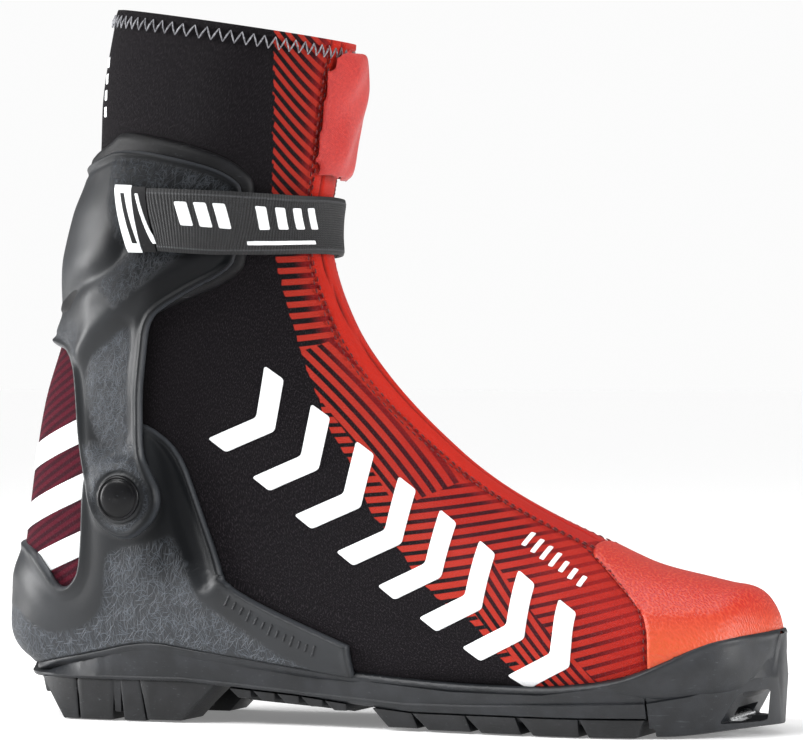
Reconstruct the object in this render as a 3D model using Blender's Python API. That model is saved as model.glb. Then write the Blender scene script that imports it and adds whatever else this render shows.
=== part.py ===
"""Skate boot for cross-country skiing, right foot: a softshell boot on a binding sole, with a
heel counter, a cuff hinged at the ankle, a zip under a padded flap, and a hook-and-loop strap.

Frame: metres, +X towards the toe, +Y towards the inner side of the foot, +Z up, ground at z = 0.
All named sizes below are in millimetres; meshes are scaled to metres when they are made."""

import math

import bmesh
import bpy

MM = 0.001
GAP = 0.3  # clearance between pieces that touch in the real boot

# The boot's skin is a loft of sections that fan round the ankle from the toe to the collar.
# Each row: front x, z; back x, z; half width outer side, inner side; where the widest place lies
# between front and back; roundness of the front half; roundness of the back half.
SECTIONS = (
    (146.5, 36, 146.5, 30, 4, 4, 0.50, 1.00, 1.00),
    (145, 42, 145.5, 22, 13, 13, 0.50, 0.95, 0.90),
    (141, 47.5, 142, 17, 23.5, 23, 0.55, 0.95, 0.80),
    (135, 51.5, 136, 14, 33, 32, 0.58, 0.95, 0.70),
    (122, 54.5, 124, 12, 42, 40, 0.60, 0.95, 0.62),
    (104, 58.5, 107, 11, 48.5, 46, 0.62, 0.98, 0.60),
    (83.5, 65.5, 85, 10, 51, 48, 0.64, 1.00, 0.60),
    (63.5, 74.5, 58, 10.5, 49.5, 46, 0.66, 1.05, 0.60),
    (46, 84, 27, 11.5, 46, 41, 0.68, 1.10, 0.60),
    (32, 93.5, -8, 14, 42.5, 37.5, 0.68, 1.12, 0.55),
    (19, 104.5, -48, 17, 40, 36.5, 0.66, 1.12, 0.50),
    (7.5, 115.5, -92, 18, 38.5, 36, 0.62, 1.10, 0.48),
    (-3, 127, -124, 19, 37.5, 35.5, 0.58, 1.05, 0.50),
    (-12, 139, -141.5, 27, 37, 35, 0.56, 1.00, 0.57),
    (-18.5, 151, -145, 44, 36.5, 35, 0.56, 0.97, 0.70),
    (-23.5, 163.5, -142, 66, 36.5, 35.5, 0.54, 0.95, 0.72),
    (-26.5, 176, -139, 90, 37, 36, 0.52, 0.95, 0.75),
    (-27, 188, -135, 116, 37.5, 36.5, 0.50, 0.95, 0.80),
    (-25.5, 199.5, -127, 143, 38, 37, 0.50, 0.95, 0.85),
    (-23.5, 212, -122.5, 170, 38, 37.5, 0.50, 0.95, 0.90),
    (-22, 225, -114.5, 200, 38, 37.5, 0.50, 0.95, 0.95),
    (-20, 237, -113, 230, 38, 37.5, 0.50, 0.95, 0.95),
    (-18.5, 245, -108.5, 255, 37.5, 37, 0.50, 0.95, 0.95),
    (-18, 249.5, -106, 263.5, 37, 36.5, 0.50, 0.95, 0.95),
)
TOE, COLLAR = 0.0, len(SECTIONS) - 1.0
COLUMNS = 24  # points round each section
ROUND = 20  # points round each turned piece

# Layers, as offsets outwards from the skin.
LINER = (-4.6, -2.2)
SOFTSHELL = (-1.8, 0.0)
COUNTER = (0.6, 2.8)
CUFF = (3.2, 6.1)
TRAY = (0.7, 2.8)
TOE_PANEL = (0.5, 1.2)
ZIP = (0.6, 1.6)

# The ankle's flex zone lies between two lines seen from the side: x at two ends, and z there.
FLEX_X = (-160.0, 160.0)
FLEX_LOW = (110.0, 110.0)
FLEX_HIGH = (137.0, 179.0)

# The ankle hinge. Its lobes are flat, so that they turn without rubbing.
PIVOT_X, PIVOT_Z = -90.0, 82.0
BOSS_Y = {"lateral": 40.4, "medial": 38.9}  # outer face of the counter's boss
BOSS_R, RIVET_R, RUNNING_GAP, CAP_R = 13.0, 4.0, 0.08, 8.3
WASHER_R, WASHER_T, LOBE_T, CAP_T, STEM_DEPTH = 10.0, 0.6, 3.0, 2.6, 2.3

# Side outlines, x and z.
SOLE_TOP = (
    (-160, 19), (-135, 19.5), (-110, 24), (-82, 30.3), (-59, 26.5), (-36, 23.5), (0, 18.5),
    (38, 15.7), (73, 15.6), (93, 18.4), (105, 21.4), (119, 27.8), (127, 32), (135, 35.2), (160, 38.5),
)
SOLE_LOW = ((-160, 14.5), (-68, 14.5), (-48, 13), (-23, 11), (-2, 8.5), (22, 6.5), (78, 6.5), (110, 7.0))
COUNTER_EDGE = (
    (-1, 30), (-35, 43.6), (-50, 51.4), (-53, 61), (-60, 77.5), (-69, 100), (-84, 110.5),
    (-97, 107), (-108, 92), (-108.6, 56), (-112.5, 49.5), (-117, 48.5), (-123, 55.5), (-131, 63), (-160, 70),
)
CUFF_EDGE = (
    (-82, 122.5), (-80.5, 137), (-79.7, 144), (-76.5, 149.5), (-62.6, 157.6), (-53, 162.4), (-48, 166.6),
    (-46.7, 171), (-43.2, 194.4), (-48.3, 199), (-55, 202.2), (-67, 205.4), (-82, 208.7), (-96, 209.5),
    (-104, 208), (-123, 203.5), (-150, 200), (-150, 141), (-121, 139), (-113, 131), (-111, 122.5),
)
LOBE_EDGE = (
    (-78, 73), (-75, 79), (-75.4, 85), (-79, 91.5), (-82.5, 98), (-82.6, 120), (-80.9, 134), (-110.9, 134),
    (-111.2, 119), (-108.7, 99), (-104, 80), (-100.9, 73.4), (-95.5, 68.6), (-90, 66.5), (-85, 67.3),
)
RIM_EDGE = (
    (-80, 148), (-72.8, 151.2), (-55.7, 158), (-49.6, 161.5), (-45.7, 165.2), (-44.5, 170.3), (-40.5, 195.4),
    (-42.8, 200), (-49, 204.8), (-57.7, 208.4), (-68.2, 211.6), (-93.5, 216.8), (-99.5, 212.8), (-117, 207),
    (-150, 203), (-150, 150),
)
TOE_EDGE = ((79.5, 90), (80, 66), (92, 58.6), (103, 50.1), (108.6, 44), (111.4, 36.5), (111.8, 24.9))

# Sole.
HEEL_LUGS = (
    (-128, 14.2), (-118, 0), (-98, 0), (-96.8, 3), (-94.2, 3), (-93, 0), (-70, 0), (-65.5, 9), (-55, 13),
    (-68, 14.2),
)
FORE_LUGS = (
    (4, 8), (12, 0.8), (24, 0.8), (22, 4.2), (28, 0.4), (46, 0.4), (44, 4.2), (50, 0.2), (65, 0.2),
    (63, 4), (69, 0), (86, 0), (88, 4), (92, 0), (106, 0), (109.7, 6),
)
SHANK_POCKETS = ((-44.5, -38), (-33, -26.5), (-22, -16), (-12, -7))  # x from and to
PLAN = (
    (-144, 0), (-141, 15), (-132, 28), (-118, 34), (-90, 36), (-50, 36), (-10, 38), (30, 43.5), (65, 48),
    (85, 49), (104, 46.5), (122, 39.5), (136, 29), (146, 14), (149.3, 0),
)
INNER_SIDE_NARROWER = 0.9  # the sole's inner side, as part of its outer side
GROOVE_IN, GROOVE_OUT = 5.0, 13.0  # the two guide grooves, as distances from the middle plane
TOE_BLOCK_X = 110.0
BAR_X, BAR_Z, BAR_R, BAR_HALF = 131.0, 5.2, 2.0, 17.0
RECESS_X, RECESS_HALF, RECESS_TOP = (119.0, 143.0), 13.5, 9.6
WINDOW_X, WINDOW_Z = (134.5, 142.0), (3.6, 9.4)

# Strap, flap and zip slider.
STRAP_LOW, STRAP_HIGH, STRAP_T = 172.0, 194.5, 1.8
ANCHOR_ANGLE, ANCHOR_R = math.radians(-90), 4.5  # where the strap is riveted to the cuff
STRAP_HINGE = 58.0  # degrees round the leg from its front, where the strap's end peels off the cuff
SLIDER_TOP, SLIDER_LENGTH, PULL_LENGTH = 240.0, 12.0, 14.0
FLAP_ARCH = ((19, 0.8), (12, 3.4), (5, 5.3), (-5, 5.5), (-15, 5.2), (-25, 4.0), (-33, 2.4), (-39, 1.2))
FLAP_T = 2.0
ZIP_BREAKS = (10.5, 14.6)  # the sections where the tape is divided at the ankle's flex zone

COLORS = {
    "softshell": (0.03, 0.028, 0.03, 0.8, 0.0),
    "red_shell": (0.75, 0.06, 0.03, 0.5, 0.0),
    "toe_shell": (0.85, 0.11, 0.05, 0.35, 0.0),
    "liner": (0.05, 0.05, 0.055, 0.9, 0.0),
    "plastic": (0.075, 0.085, 0.1, 0.4, 0.0),
    "sole": (0.045, 0.046, 0.052, 0.55, 0.0),
    "rim": (0.025, 0.025, 0.028, 0.5, 0.0),
    "webbing": (0.025, 0.025, 0.027, 0.7, 0.0),
    "gloss": (0.012, 0.012, 0.014, 0.15, 0.0),
    "steel": (0.7, 0.71, 0.72, 0.25, 1.0),
    "tab": (0.85, 0.86, 0.87, 0.5, 0.0),
}
SIDES = {"lateral": -1, "medial": 1}


def clear_scene():
    for obj in list(bpy.data.objects):
        bpy.data.objects.remove(obj, do_unlink=True)


def material(slot):
    found = bpy.data.materials.get(slot)
    if found:
        return found
    red, green, blue, roughness, metallic = COLORS[slot]
    made = bpy.data.materials.new(slot)
    made.use_nodes = True
    shader = made.node_tree.nodes["Principled BSDF"]
    shader.inputs["Base Color"].default_value = (red, green, blue, 1.0)
    shader.inputs["Roughness"].default_value = roughness
    shader.inputs["Metallic"].default_value = metallic
    return made


def add_object(name, points, faces, slot=None):
    """A closed mesh from points in millimetres. With no material slot it is a cutter."""
    bm = bmesh.new()
    verts = [bm.verts.new([value * MM for value in point]) for point in points]
    for face in faces:
        bm.faces.new([verts[index] for index in face])
    bmesh.ops.recalc_face_normals(bm, faces=bm.faces)
    mesh = bpy.data.meshes.new(name)
    bm.to_mesh(mesh)
    bm.free()
    obj = bpy.data.objects.new(name, mesh)
    bpy.context.scene.collection.objects.link(obj)
    if slot is None:
        obj.hide_render = True
        obj.display_type = "WIRE"
        return obj
    mesh.materials.append(material(slot))
    mesh.shade_smooth()
    mesh.set_sharp_from_angle(angle=math.radians(35))
    return obj


def boolean(obj, other, operation):
    modifier = obj.modifiers.new(f"{operation.lower()} {other.name}", "BOOLEAN")
    modifier.operation = operation
    modifier.object = other
    modifier.solver = "EXACT"


def section(station):
    """One section's nine numbers, by a Catmull-Rom curve through the rows above."""
    last = len(SECTIONS) - 1
    low = min(max(int(math.floor(station)), 0), last - 1)
    t = station - low
    rows = [SECTIONS[min(max(low + step, 0), last)] for step in (-1, 0, 1, 2)]
    numbers = []
    for a, b, c, d in zip(*rows):
        curve = (c - a) * t + (2 * a - 5 * b + 4 * c - d) * t * t + (3 * b - a - 3 * c + d) * t ** 3
        numbers.append(b + curve / 2)
    return numbers


def skin_point(station, angle):
    """A point of the skin: angle 0 is the front, pi the back, and up to pi is the outer side."""
    front_x, front_z, back_x, back_z, outer, inner, widest, front_round, back_round = section(station)
    c, s = math.cos(angle), math.sin(angle)
    power = front_round if c > 0 else back_round
    along = widest - widest * abs(c) ** power if c > 0 else widest + (1 - widest) * abs(c) ** power
    half = outer if s > 0 else inner
    y = -math.copysign(half * abs(s) ** power, s)
    return (front_x + (back_x - front_x) * along, y, front_z + (back_z - front_z) * along)


def skin(station, angle, offset=0.0):
    """The skin's point, moved outwards along its normal."""
    step = 1e-3
    here = skin_point(station, angle)
    a = skin_point(min(station + step, COLLAR), angle)
    b = skin_point(max(station - step, TOE), angle)
    along = [p - q for p, q in zip(a, b)]
    around = [p - q for p, q in zip(skin_point(station, angle + step), skin_point(station, angle - step))]
    normal = (
        along[1] * around[2] - along[2] * around[1],
        along[2] * around[0] - along[0] * around[2],
        along[0] * around[1] - along[1] * around[0],
    )
    length = math.sqrt(sum(value * value for value in normal)) or 1.0
    return tuple(p + offset * n / length for p, n in zip(here, normal))


def station_at(z, angle):
    """The leg's section that passes through height z at this angle."""
    low, high = 11.0, COLLAR
    for _ in range(30):
        middle = (low + high) / 2
        if skin_point(middle, angle)[2] < z:
            low = middle
        else:
            high = middle
    return low


def steps(first, last, count):
    return [first + (last - first) * index / count for index in range(count + 1)]


def ring_angles():
    return [2 * math.pi * (index + 0.5) / COLUMNS for index in range(COLUMNS)]


def grid_faces(rows, columns, start=0, closed=True):
    """Quads of a grid of points that goes round when closed."""
    faces = []
    for row in range(rows - 1):
        for column in range(columns if closed else columns - 1):
            nxt = (column + 1) % columns
            base, above = start + row * columns, start + (row + 1) * columns
            faces.append((base + column, base + nxt, above + nxt, above + column))
    return faces


def stations(first, last):
    """Section numbers from first to last: every layer has its rows at the same ones, so that the
    facets of neighbouring layers stay parallel."""
    inside = [u for u in [0.5, 1.5] + list(range(1, len(SECTIONS))) if first < u < last]
    return [first] + sorted(inside) + [last]


def surface(offset, rows):
    return [skin(u, angle, offset) for u in rows for angle in ring_angles()]


def loft(name, offset, first, last, slot=None):
    """A solid whose side is the skin at an offset, with flat ends."""
    rows = stations(first, last)
    faces = grid_faces(len(rows), COLUMNS)
    faces.append(tuple(range(COLUMNS)))
    faces.append(tuple(range((len(rows) - 1) * COLUMNS, len(rows) * COLUMNS)))
    return add_object(name, surface(offset, rows), faces, slot)


def wall(name, layer, first, last, slot, closed_toe=False):
    """A layer all round the foot or leg, open at its last section. At its first section it is open
    too, or closed with two caps: then first gives the outer cap's section and the inner cap's."""
    outer_first, inner_first = first if closed_toe else (first, first)
    outer, inner = stations(outer_first, last), stations(inner_first, last)
    points = surface(layer[1], outer) + surface(layer[0], inner)
    count = len(outer) * COLUMNS
    faces = grid_faces(len(outer), COLUMNS) + grid_faces(len(inner), COLUMNS, count)
    ends = [(count - COLUMNS, len(points) - COLUMNS)]
    if closed_toe:
        faces.append(tuple(range(COLUMNS)))
        faces.append(tuple(range(count, count + COLUMNS)))
    else:
        ends.append((0, count))
    for a, b in ends:
        faces += [(a + i, a + (i + 1) % COLUMNS, b + (i + 1) % COLUMNS, b + i) for i in range(COLUMNS)]
    return add_object(name, points, faces, slot)


def patch(name, rows, slot):
    """A plate from rows of (station, angle, low offset, high offset)."""
    columns = len(rows[0])
    points = [skin(u, angle, low) for row in rows for u, angle, low, high in row]
    count = len(points)
    points += [skin(u, angle, high) for row in rows for u, angle, low, high in row]
    faces = grid_faces(len(rows), columns, closed=False) + grid_faces(len(rows), columns, count, False)
    border = list(range(columns))
    border += [row * columns + columns - 1 for row in range(1, len(rows))]
    border += [(len(rows) - 1) * columns + column for column in range(columns - 2, -1, -1)]
    border += [row * columns for row in range(len(rows) - 2, 0, -1)]
    for index, here in enumerate(border):
        nxt = border[(index + 1) % len(border)]
        faces.append((here, nxt, count + nxt, count + here))
    return add_object(name, points, faces, slot)


def side_prism(name, outline, near, far, slot=None):
    """A side outline in x and z, extruded from y = near to y = far."""
    count = len(outline)
    points = [(x, y, z) for y in (near, far) for x, z in outline]
    faces = [tuple(range(count)), tuple(range(count, 2 * count))]
    faces += [(i, (i + 1) % count, count + (i + 1) % count, count + i) for i in range(count)]
    return add_object(name, points, faces, slot)


def plan_prism(name, shrink, low, high, slot=None):
    """The sole's outline seen from below, extruded from z = low to z = high."""
    outer = [(x, -max(y - shrink, 0.0)) for x, y in PLAN]
    inner = [(x, max(y - shrink, 0.0) * INNER_SIDE_NARROWER) for x, y in PLAN[-2:0:-1]]
    outline = outer + inner
    count = len(outline)
    points = [(x, y, z) for z in (low, high) for x, y in outline]
    faces = [tuple(range(count)), tuple(range(count, 2 * count))]
    faces += [(i, (i + 1) % count, count + (i + 1) % count, count + i) for i in range(count)]
    return add_object(name, points, faces, slot)


def box(name, low, high, slot=None):
    outline = ((low[0], low[2]), (high[0], low[2]), (high[0], high[2]), (low[0], high[2]))
    return side_prism(name, outline, low[1], high[1], slot)


def turned(name, profile, centre_x, centre_z, side, slot=None, columns=ROUND):
    """A piece turned about the ankle's axis. The profile is (radius, distance from the middle plane).
    A profile that starts and ends at radius 0 is solid; any other is a ring."""
    solid = profile[0][0] == 0
    rings = profile[1:-1] if solid else profile
    points = []
    for radius, distance in rings:
        for index in range(columns):
            angle = 2 * math.pi * index / columns
            x = centre_x + radius * math.cos(angle)
            points.append((x, side * distance, centre_z + radius * math.sin(angle)))
    faces = grid_faces(len(rings), columns)
    last = (len(rings) - 1) * columns
    if solid:
        faces.append(tuple(range(columns)))
        faces.append(tuple(range(last, last + columns)))
    else:
        faces += [(last + i, last + (i + 1) % columns, (i + 1) % columns, i) for i in range(columns)]
    return add_object(name, points, faces, slot)


def flex_band(name, low, high):
    """A cutter between two lines that cross the ankle, each given by its z at the ends of FLEX_X."""
    back, front = FLEX_X
    return side_prism(name, ((back, low[0]), (front, low[1]), (front, high[1]), (back, high[0])), -70, 70)


def make_upper():
    floor, ceiling = (-20.0, -20.0), (290.0, 290.0)
    low_above = tuple(z + GAP for z in FLEX_LOW)
    high_above = tuple(z + GAP for z in FLEX_HIGH)
    foot = flex_band("foot_band", floor, FLEX_LOW)
    leg = flex_band("leg_band", high_above, ceiling)
    boolean(wall("softshell_foot", SOFTSHELL, (0.05, 0.5), 17.6, "red_shell", True), foot, "INTERSECT")
    boolean(wall("liner_foot", LINER, (0.9, 1.5), 17.6, "liner", True), foot, "INTERSECT")
    boolean(wall("softshell_collar", SOFTSHELL, 13.0, COLLAR, "softshell"), leg, "INTERSECT")
    boolean(wall("liner_collar", LINER, 13.0, COLLAR, "liner"), leg, "INTERSECT")
    flex = wall("ankle_flex_zone", (LINER[0], SOFTSHELL[1]), 9.6, 18.6, "softshell")
    boolean(flex, flex_band("flex_band", low_above, FLEX_HIGH), "INTERSECT")


def make_insole():
    """A footbed that fills the liner's bottom up to a level plane."""
    insole = loft("insole", LINER[0] - 2 * GAP, 1.9, 15.0, "liner")
    level = ((-150, 0), (140, 0), (140, 19.5), (60, 19.5), (-20, 25.5), (-150, 27.5))
    boolean(insole, side_prism("insole_level", level, -60, 60), "INTERSECT")


def make_toe():
    panel = loft("toe_panel", TOE_PANEL[1], 0.0, 8.0, "toe_shell")
    above_sole = [(x, z + GAP) for x, z in SOLE_TOP if x > 111.8]
    outline = list(TOE_EDGE) + above_sole + [(160, 90)]
    boolean(panel, side_prism("toe_panel_outline", outline, -60, 60), "INTERSECT")
    boolean(panel, loft("toe_panel_hollow", TOE_PANEL[0], 0.2, 8.5), "DIFFERENCE")


def make_counter():
    counter = loft("heel_counter", COUNTER[1], 8.2, 18.5, "plastic")
    for side_name, side in SIDES.items():
        profile = ((0, 30), (BOSS_R, 30), (BOSS_R, BOSS_Y[side_name]), (0, BOSS_Y[side_name]))
        boss = turned(f"counter_boss_{side_name}", profile, PIVOT_X, PIVOT_Z, side)
        boolean(counter, boss, "UNION")
    sole_edge = [(x, z + GAP) for x, z in SOLE_TOP if x < 1]
    outline = sole_edge + list(COUNTER_EDGE)
    boolean(counter, side_prism("counter_outline", outline, -70, 70), "INTERSECT")
    boolean(counter, loft("counter_hollow", COUNTER[0], 7.9, 19.0), "DIFFERENCE")
    for side_name, side in SIDES.items():
        radius = RIVET_R + RUNNING_GAP
        profile = ((0, 20), (radius, 20), (radius, 60), (0, 60))
        hole = turned(f"counter_hole_{side_name}", profile, PIVOT_X, PIVOT_Z, side)
        boolean(counter, hole, "DIFFERENCE")


def make_cuff():
    cuff = loft("cuff", CUFF[1], 11.0, 22.0, "plastic")
    boolean(cuff, side_prism("cuff_outline", CUFF_EDGE, -70, 70), "INTERSECT")
    boolean(cuff, loft("cuff_hollow", CUFF[0], 10.7, 22.4), "DIFFERENCE")
    for side_name, side in SIDES.items():
        inner = BOSS_Y[side_name] + WASHER_T + 2 * GAP
        lobe = side_prism(f"cuff_lobe_{side_name}", LOBE_EDGE, side * inner, side * (inner + LOBE_T))
        boolean(cuff, lobe, "UNION")
        radius = RIVET_R + RUNNING_GAP
        profile = ((0, 30), (radius, 30), (radius, 60), (0, 60))
        hole = turned(f"cuff_hole_{side_name}", profile, PIVOT_X, PIVOT_Z, side)
        boolean(cuff, hole, "DIFFERENCE")


def make_cuff_lining():
    lining = loft("cuff_lining", COUNTER[1], 13.0, 22.0, "rim")
    boolean(lining, side_prism("lining_outline", RIM_EDGE, -70, 70), "INTERSECT")
    boolean(lining, loft("lining_hollow", COUNTER[0], 12.7, 22.4), "DIFFERENCE")


def make_pivots():
    for side_name, side in SIDES.items():
        washer_low = BOSS_Y[side_name] + GAP
        washer_high = washer_low + WASHER_T
        ring = RIVET_R + RUNNING_GAP
        profile = ((ring, washer_low), (WASHER_R, washer_low), (WASHER_R, washer_high), (ring, washer_high))
        turned(f"pivot_washer_{side_name}", profile, PIVOT_X, PIVOT_Z, side, "steel")
        head = washer_high + GAP + LOBE_T + GAP
        dome = [(CAP_R * math.cos(a), head + 0.8 + (CAP_T - 0.8) * math.sin(a)) for a in (0, 0.5, 1.0, 1.35)]
        inner_end = BOSS_Y[side_name] - STEM_DEPTH
        stem = [(0, inner_end), (RIVET_R, inner_end), (RIVET_R, head), (CAP_R, head)]
        turned(f"pivot_rivet_{side_name}", stem + dome + [(0, head + CAP_T)], PIVOT_X, PIVOT_Z, side, "gloss")


def below(line, floor=-5.0):
    """The outline under a line of points."""
    return [(line[-1][0], floor), (line[0][0], floor)] + list(line)


def make_sole_body(name, first_x, last_x):
    """The tray that holds the foot, with the solid core under it, between two upright planes."""
    body = loft(name, TRAY[1], 0.0, 16.0, "sole")
    boolean(body, plan_prism(f"{name}_core", 0.0, 0.0, 19.0), "UNION")
    between = box(f"{name}_between", (first_x, -80, -10), (last_x, 80, 80))
    boolean(body, between, "INTERSECT")
    boolean(body, side_prism(f"{name}_top", below(SOLE_TOP), -80, 80), "INTERSECT")
    hollow = loft(f"{name}_hollow", TRAY[0], 0.0, 17.0)
    boolean(body, hollow, "DIFFERENCE")
    return body


def make_outsole():
    carrier = make_sole_body("sole_carrier", -160, TOE_BLOCK_X - GAP)
    boolean(carrier, side_prism("carrier_low", below(SOLE_LOW), -80, 80), "DIFFERENCE")
    block = make_sole_body("toe_block", TOE_BLOCK_X, 160)
    low, high = RECESS_X
    recess = box("toe_recess", (low, -RECESS_HALF, -5), (high, RECESS_HALF, RECESS_TOP))
    boolean(block, recess, "DIFFERENCE")
    window = box("toe_window", (WINDOW_X[0], -60, WINDOW_Z[0]), (WINDOW_X[1], 60, WINDOW_Z[1]))
    boolean(block, window, "DIFFERENCE")
    seat = bar_solid("bar_seat", BAR_R + 0.1, BAR_HALF + 0.2)
    boolean(block, seat, "DIFFERENCE")


def bar_solid(name, radius, half, slot=None):
    """A round rod across the boot, where the binding takes hold."""
    columns = ROUND
    points = []
    for y in (-half, half):
        for index in range(columns):
            angle = 2 * math.pi * index / columns
            points.append((BAR_X + radius * math.cos(angle), y, BAR_Z + radius * math.sin(angle)))
    faces = grid_faces(2, columns) + [tuple(range(columns)), tuple(range(columns, 2 * columns))]
    return add_object(name, points, faces, slot)


def make_tread(name, outline, near, far, shrink):
    """One rail of lugs: a side outline cut to the sole's plan between two distances from the middle."""
    tread = side_prism(name, outline, near, far, "sole")
    boolean(tread, plan_prism(f"{name}_plan", shrink, -3.0, 18.0), "INTERSECT")


def make_treads():
    for side_name, side in SIDES.items():
        make_tread(f"heel_tread_{side_name}", HEEL_LUGS, side * GROOVE_OUT, side * 60, 1.5)
        top = [(x, lower_line(x) - GAP) for x in (FORE_LUGS[-1][0], 78, 22, FORE_LUGS[0][0])]
        fore = list(FORE_LUGS[1:-1]) + top
        make_tread(f"fore_tread_{side_name}", fore, side * GROOVE_OUT, side * 60, 3.0)
    heel = ((-127, 14.2), (-119, 3), (-73, 3), (-69, 14.2))
    side_prism("heel_guide_ridge", heel, -GROOVE_IN, GROOVE_IN, "sole")
    fore = ((8, 7.4), (12, 2), (108, 2), (109.7, 5), (109.7, 6.2), (22, 6.2))
    side_prism("fore_guide_ridge", fore, -GROOVE_IN, GROOVE_IN, "sole")


def lower_line(x):
    """The height of the carrier's underside."""
    for (x0, z0), (x1, z1) in zip(SOLE_LOW, SOLE_LOW[1:]):
        if x <= x1:
            return z0 + (z1 - z0) * (x - x0) / (x1 - x0)
    return SOLE_LOW[-1][1]


def make_shank():
    """The stiffener under the arch: a plate with a row of open pockets."""
    top = [(x, lower_line(x) - GAP) for x in (-53, -48, -23, -4)]
    outline = [(-53, 12.2), (-46, 8.3), (-18, 6.3), (-5, 5.2)] + top[::-1]
    shank = side_prism("shank", outline, -26, 26, "sole")
    for index, (low, high) in enumerate(SHANK_POCKETS):
        roof = lower_line(high) - 1.8
        for side_name, side in SIDES.items():
            pocket = box(f"shank_pocket_{side_name}_{index}", (low, side * 3, -2), (high, side * 22, roof))
            boolean(shank, pocket, "DIFFERENCE")


def make_zip():
    half = math.radians(15)
    angles = steps(-half, half, 4)

    def tape(name, first, last):
        patch(name, [[(u, a, *ZIP) for a in angles] for u in stations(first, last)], "red_shell")

    tape("zip_foot", 6.4, ZIP_BREAKS[0] - 0.03)
    tape("zip_instep", ZIP_BREAKS[0] + 0.03, ZIP_BREAKS[1] - 0.03)
    tape("zip_leg", ZIP_BREAKS[1] + 0.03, COLLAR - 0.15)
    leaning_block("zip_slider", SLIDER_TOP, SLIDER_LENGTH, 4.2, (2.4, 3.8), "steel")
    leaning_block("zip_pull", SLIDER_TOP - 1, PULL_LENGTH, 2.4, (4.1, 4.8), "rim")
    leaning_block("zip_stop", 245.0, 2.5, 3.4, (2.0, 3.4), "steel")


def leaning_block(name, top_z, length, half, layer, slot):
    """A block in front of the zip that leans back as the shin's line does."""
    points = []
    for z in (top_z - length, top_z):
        front = skin_point(station_at(z, 0.0), 0.0)[0]
        for distance in layer:
            for y in (-half, half):
                points.append((front + distance, y, z))
    faces = ((0, 1, 3, 2), (4, 5, 7, 6), (0, 1, 5, 4), (2, 3, 7, 6), (0, 2, 6, 4), (1, 3, 7, 5))
    return add_object(name, points, faces, slot)


def make_flap():
    """The padded flap over the top of the zip, sewn on along its outer side and arched over it."""
    rows = []
    for z in (199.5, 206, 218, 230, 240, 246.5):
        row = []
        for degrees, lift in FLAP_ARCH:
            angle = math.radians(degrees)
            row.append((station_at(z, angle), angle, lift, lift + FLAP_T))
        rows.append(row)
    patch("garage_flap", rows, "red_shell")


def strap_rows(first, last, count, lift):
    """Rows of a band round the leg between two angles in degrees; lift gives its inner offset."""
    rows = []
    for z in (STRAP_LOW, (STRAP_LOW + STRAP_HIGH) / 2, STRAP_HIGH):
        row = []
        for degrees in steps(first, last, count):
            angle = math.radians(degrees)
            drop = 3.0 * max(math.cos(angle), 0.0)
            inner = lift(degrees)
            row.append((station_at(z - drop, angle), angle, inner, inner + STRAP_T))
        rows.append(row)
    return rows


def strap_lift(degrees):
    """Close to the zip at the front, over the cuff at the sides."""
    over_cuff = CUFF[1] + GAP
    at_front = ZIP[1] + 0.8
    t = min(abs(degrees) / 46.0, 1.0)
    return at_front + (over_cuff - at_front) * t * t * (3 - 2 * t)


def make_strap():
    patch("strap", strap_rows(-100, STRAP_HINGE - 1.5, 14, strap_lift), "webbing")
    lifted = CUFF[1] + 4 * GAP + 0.6
    patch("strap_end", strap_rows(STRAP_HINGE, 89, 4, lambda degrees: lifted), "webbing")
    patch("strap_tab", strap_rows(89.6, 103, 2, lambda degrees: lifted), "tab")
    hooks = []
    for z in (STRAP_LOW + 2, STRAP_HIGH - 2):
        low, high = CUFF[1] + 2 * GAP, CUFF[1] + 2 * GAP + 0.6
        hooks.append([(station_at(z, math.radians(d)), math.radians(d), low, high) for d in (66, 76, 86, 96)])
    patch("hook_patch", hooks, "rim")
    x, y, z = skin(station_at(STRAP_LOW + 11, ANCHOR_ANGLE), ANCHOR_ANGLE, CUFF[1] + GAP + STRAP_T)
    profile = ((0, y + 0.6), (ANCHOR_R, y + 0.6), (ANCHOR_R - 1, y + 2.0), (0, y + 2.0))
    turned("strap_rivet", profile, x, z, SIDES["medial"], "gloss")


def main():
    clear_scene()
    make_upper()
    make_insole()
    make_toe()
    make_counter()
    make_cuff()
    make_cuff_lining()
    make_pivots()
    make_outsole()
    bar_solid("binding_bar", BAR_R, BAR_HALF, "steel")
    make_treads()
    make_shank()
    make_zip()
    make_flap()
    make_strap()


main()
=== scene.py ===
"""Looks of the cross-country skate boot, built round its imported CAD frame.

Lengths in the code are millimetres and meshes are scaled to metres when they are made. A point of the
boot's skin is named by (station, angle): station 0 is the toe and 23 the collar, angle 0 is the front
ridge, 180 degrees the back or the sole, and positive angles are on the outer side."""

import math

import bmesh
import bpy
import numpy as np
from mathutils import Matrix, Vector


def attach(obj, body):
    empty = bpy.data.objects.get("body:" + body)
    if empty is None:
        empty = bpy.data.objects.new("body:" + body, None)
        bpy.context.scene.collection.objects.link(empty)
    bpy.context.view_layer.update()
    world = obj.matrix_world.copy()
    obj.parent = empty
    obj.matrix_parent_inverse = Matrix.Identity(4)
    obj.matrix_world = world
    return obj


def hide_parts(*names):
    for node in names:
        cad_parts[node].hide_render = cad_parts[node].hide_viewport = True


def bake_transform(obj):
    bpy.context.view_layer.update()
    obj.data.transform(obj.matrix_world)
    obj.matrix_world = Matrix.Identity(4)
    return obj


MM = 0.001
UV_MM = 100.0  # millimetres to one unit of a UV map
FOOT, CUFF = "foot", "cuff"
SIDES = ((1, "lateral"), (-1, "medial"))  # the outer and the inner side
BEND_START, BEND_END = (-0.050, 0.0, 0.112), (-0.065, 0.0, 0.168)  # where fabric turns with the ankle

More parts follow.
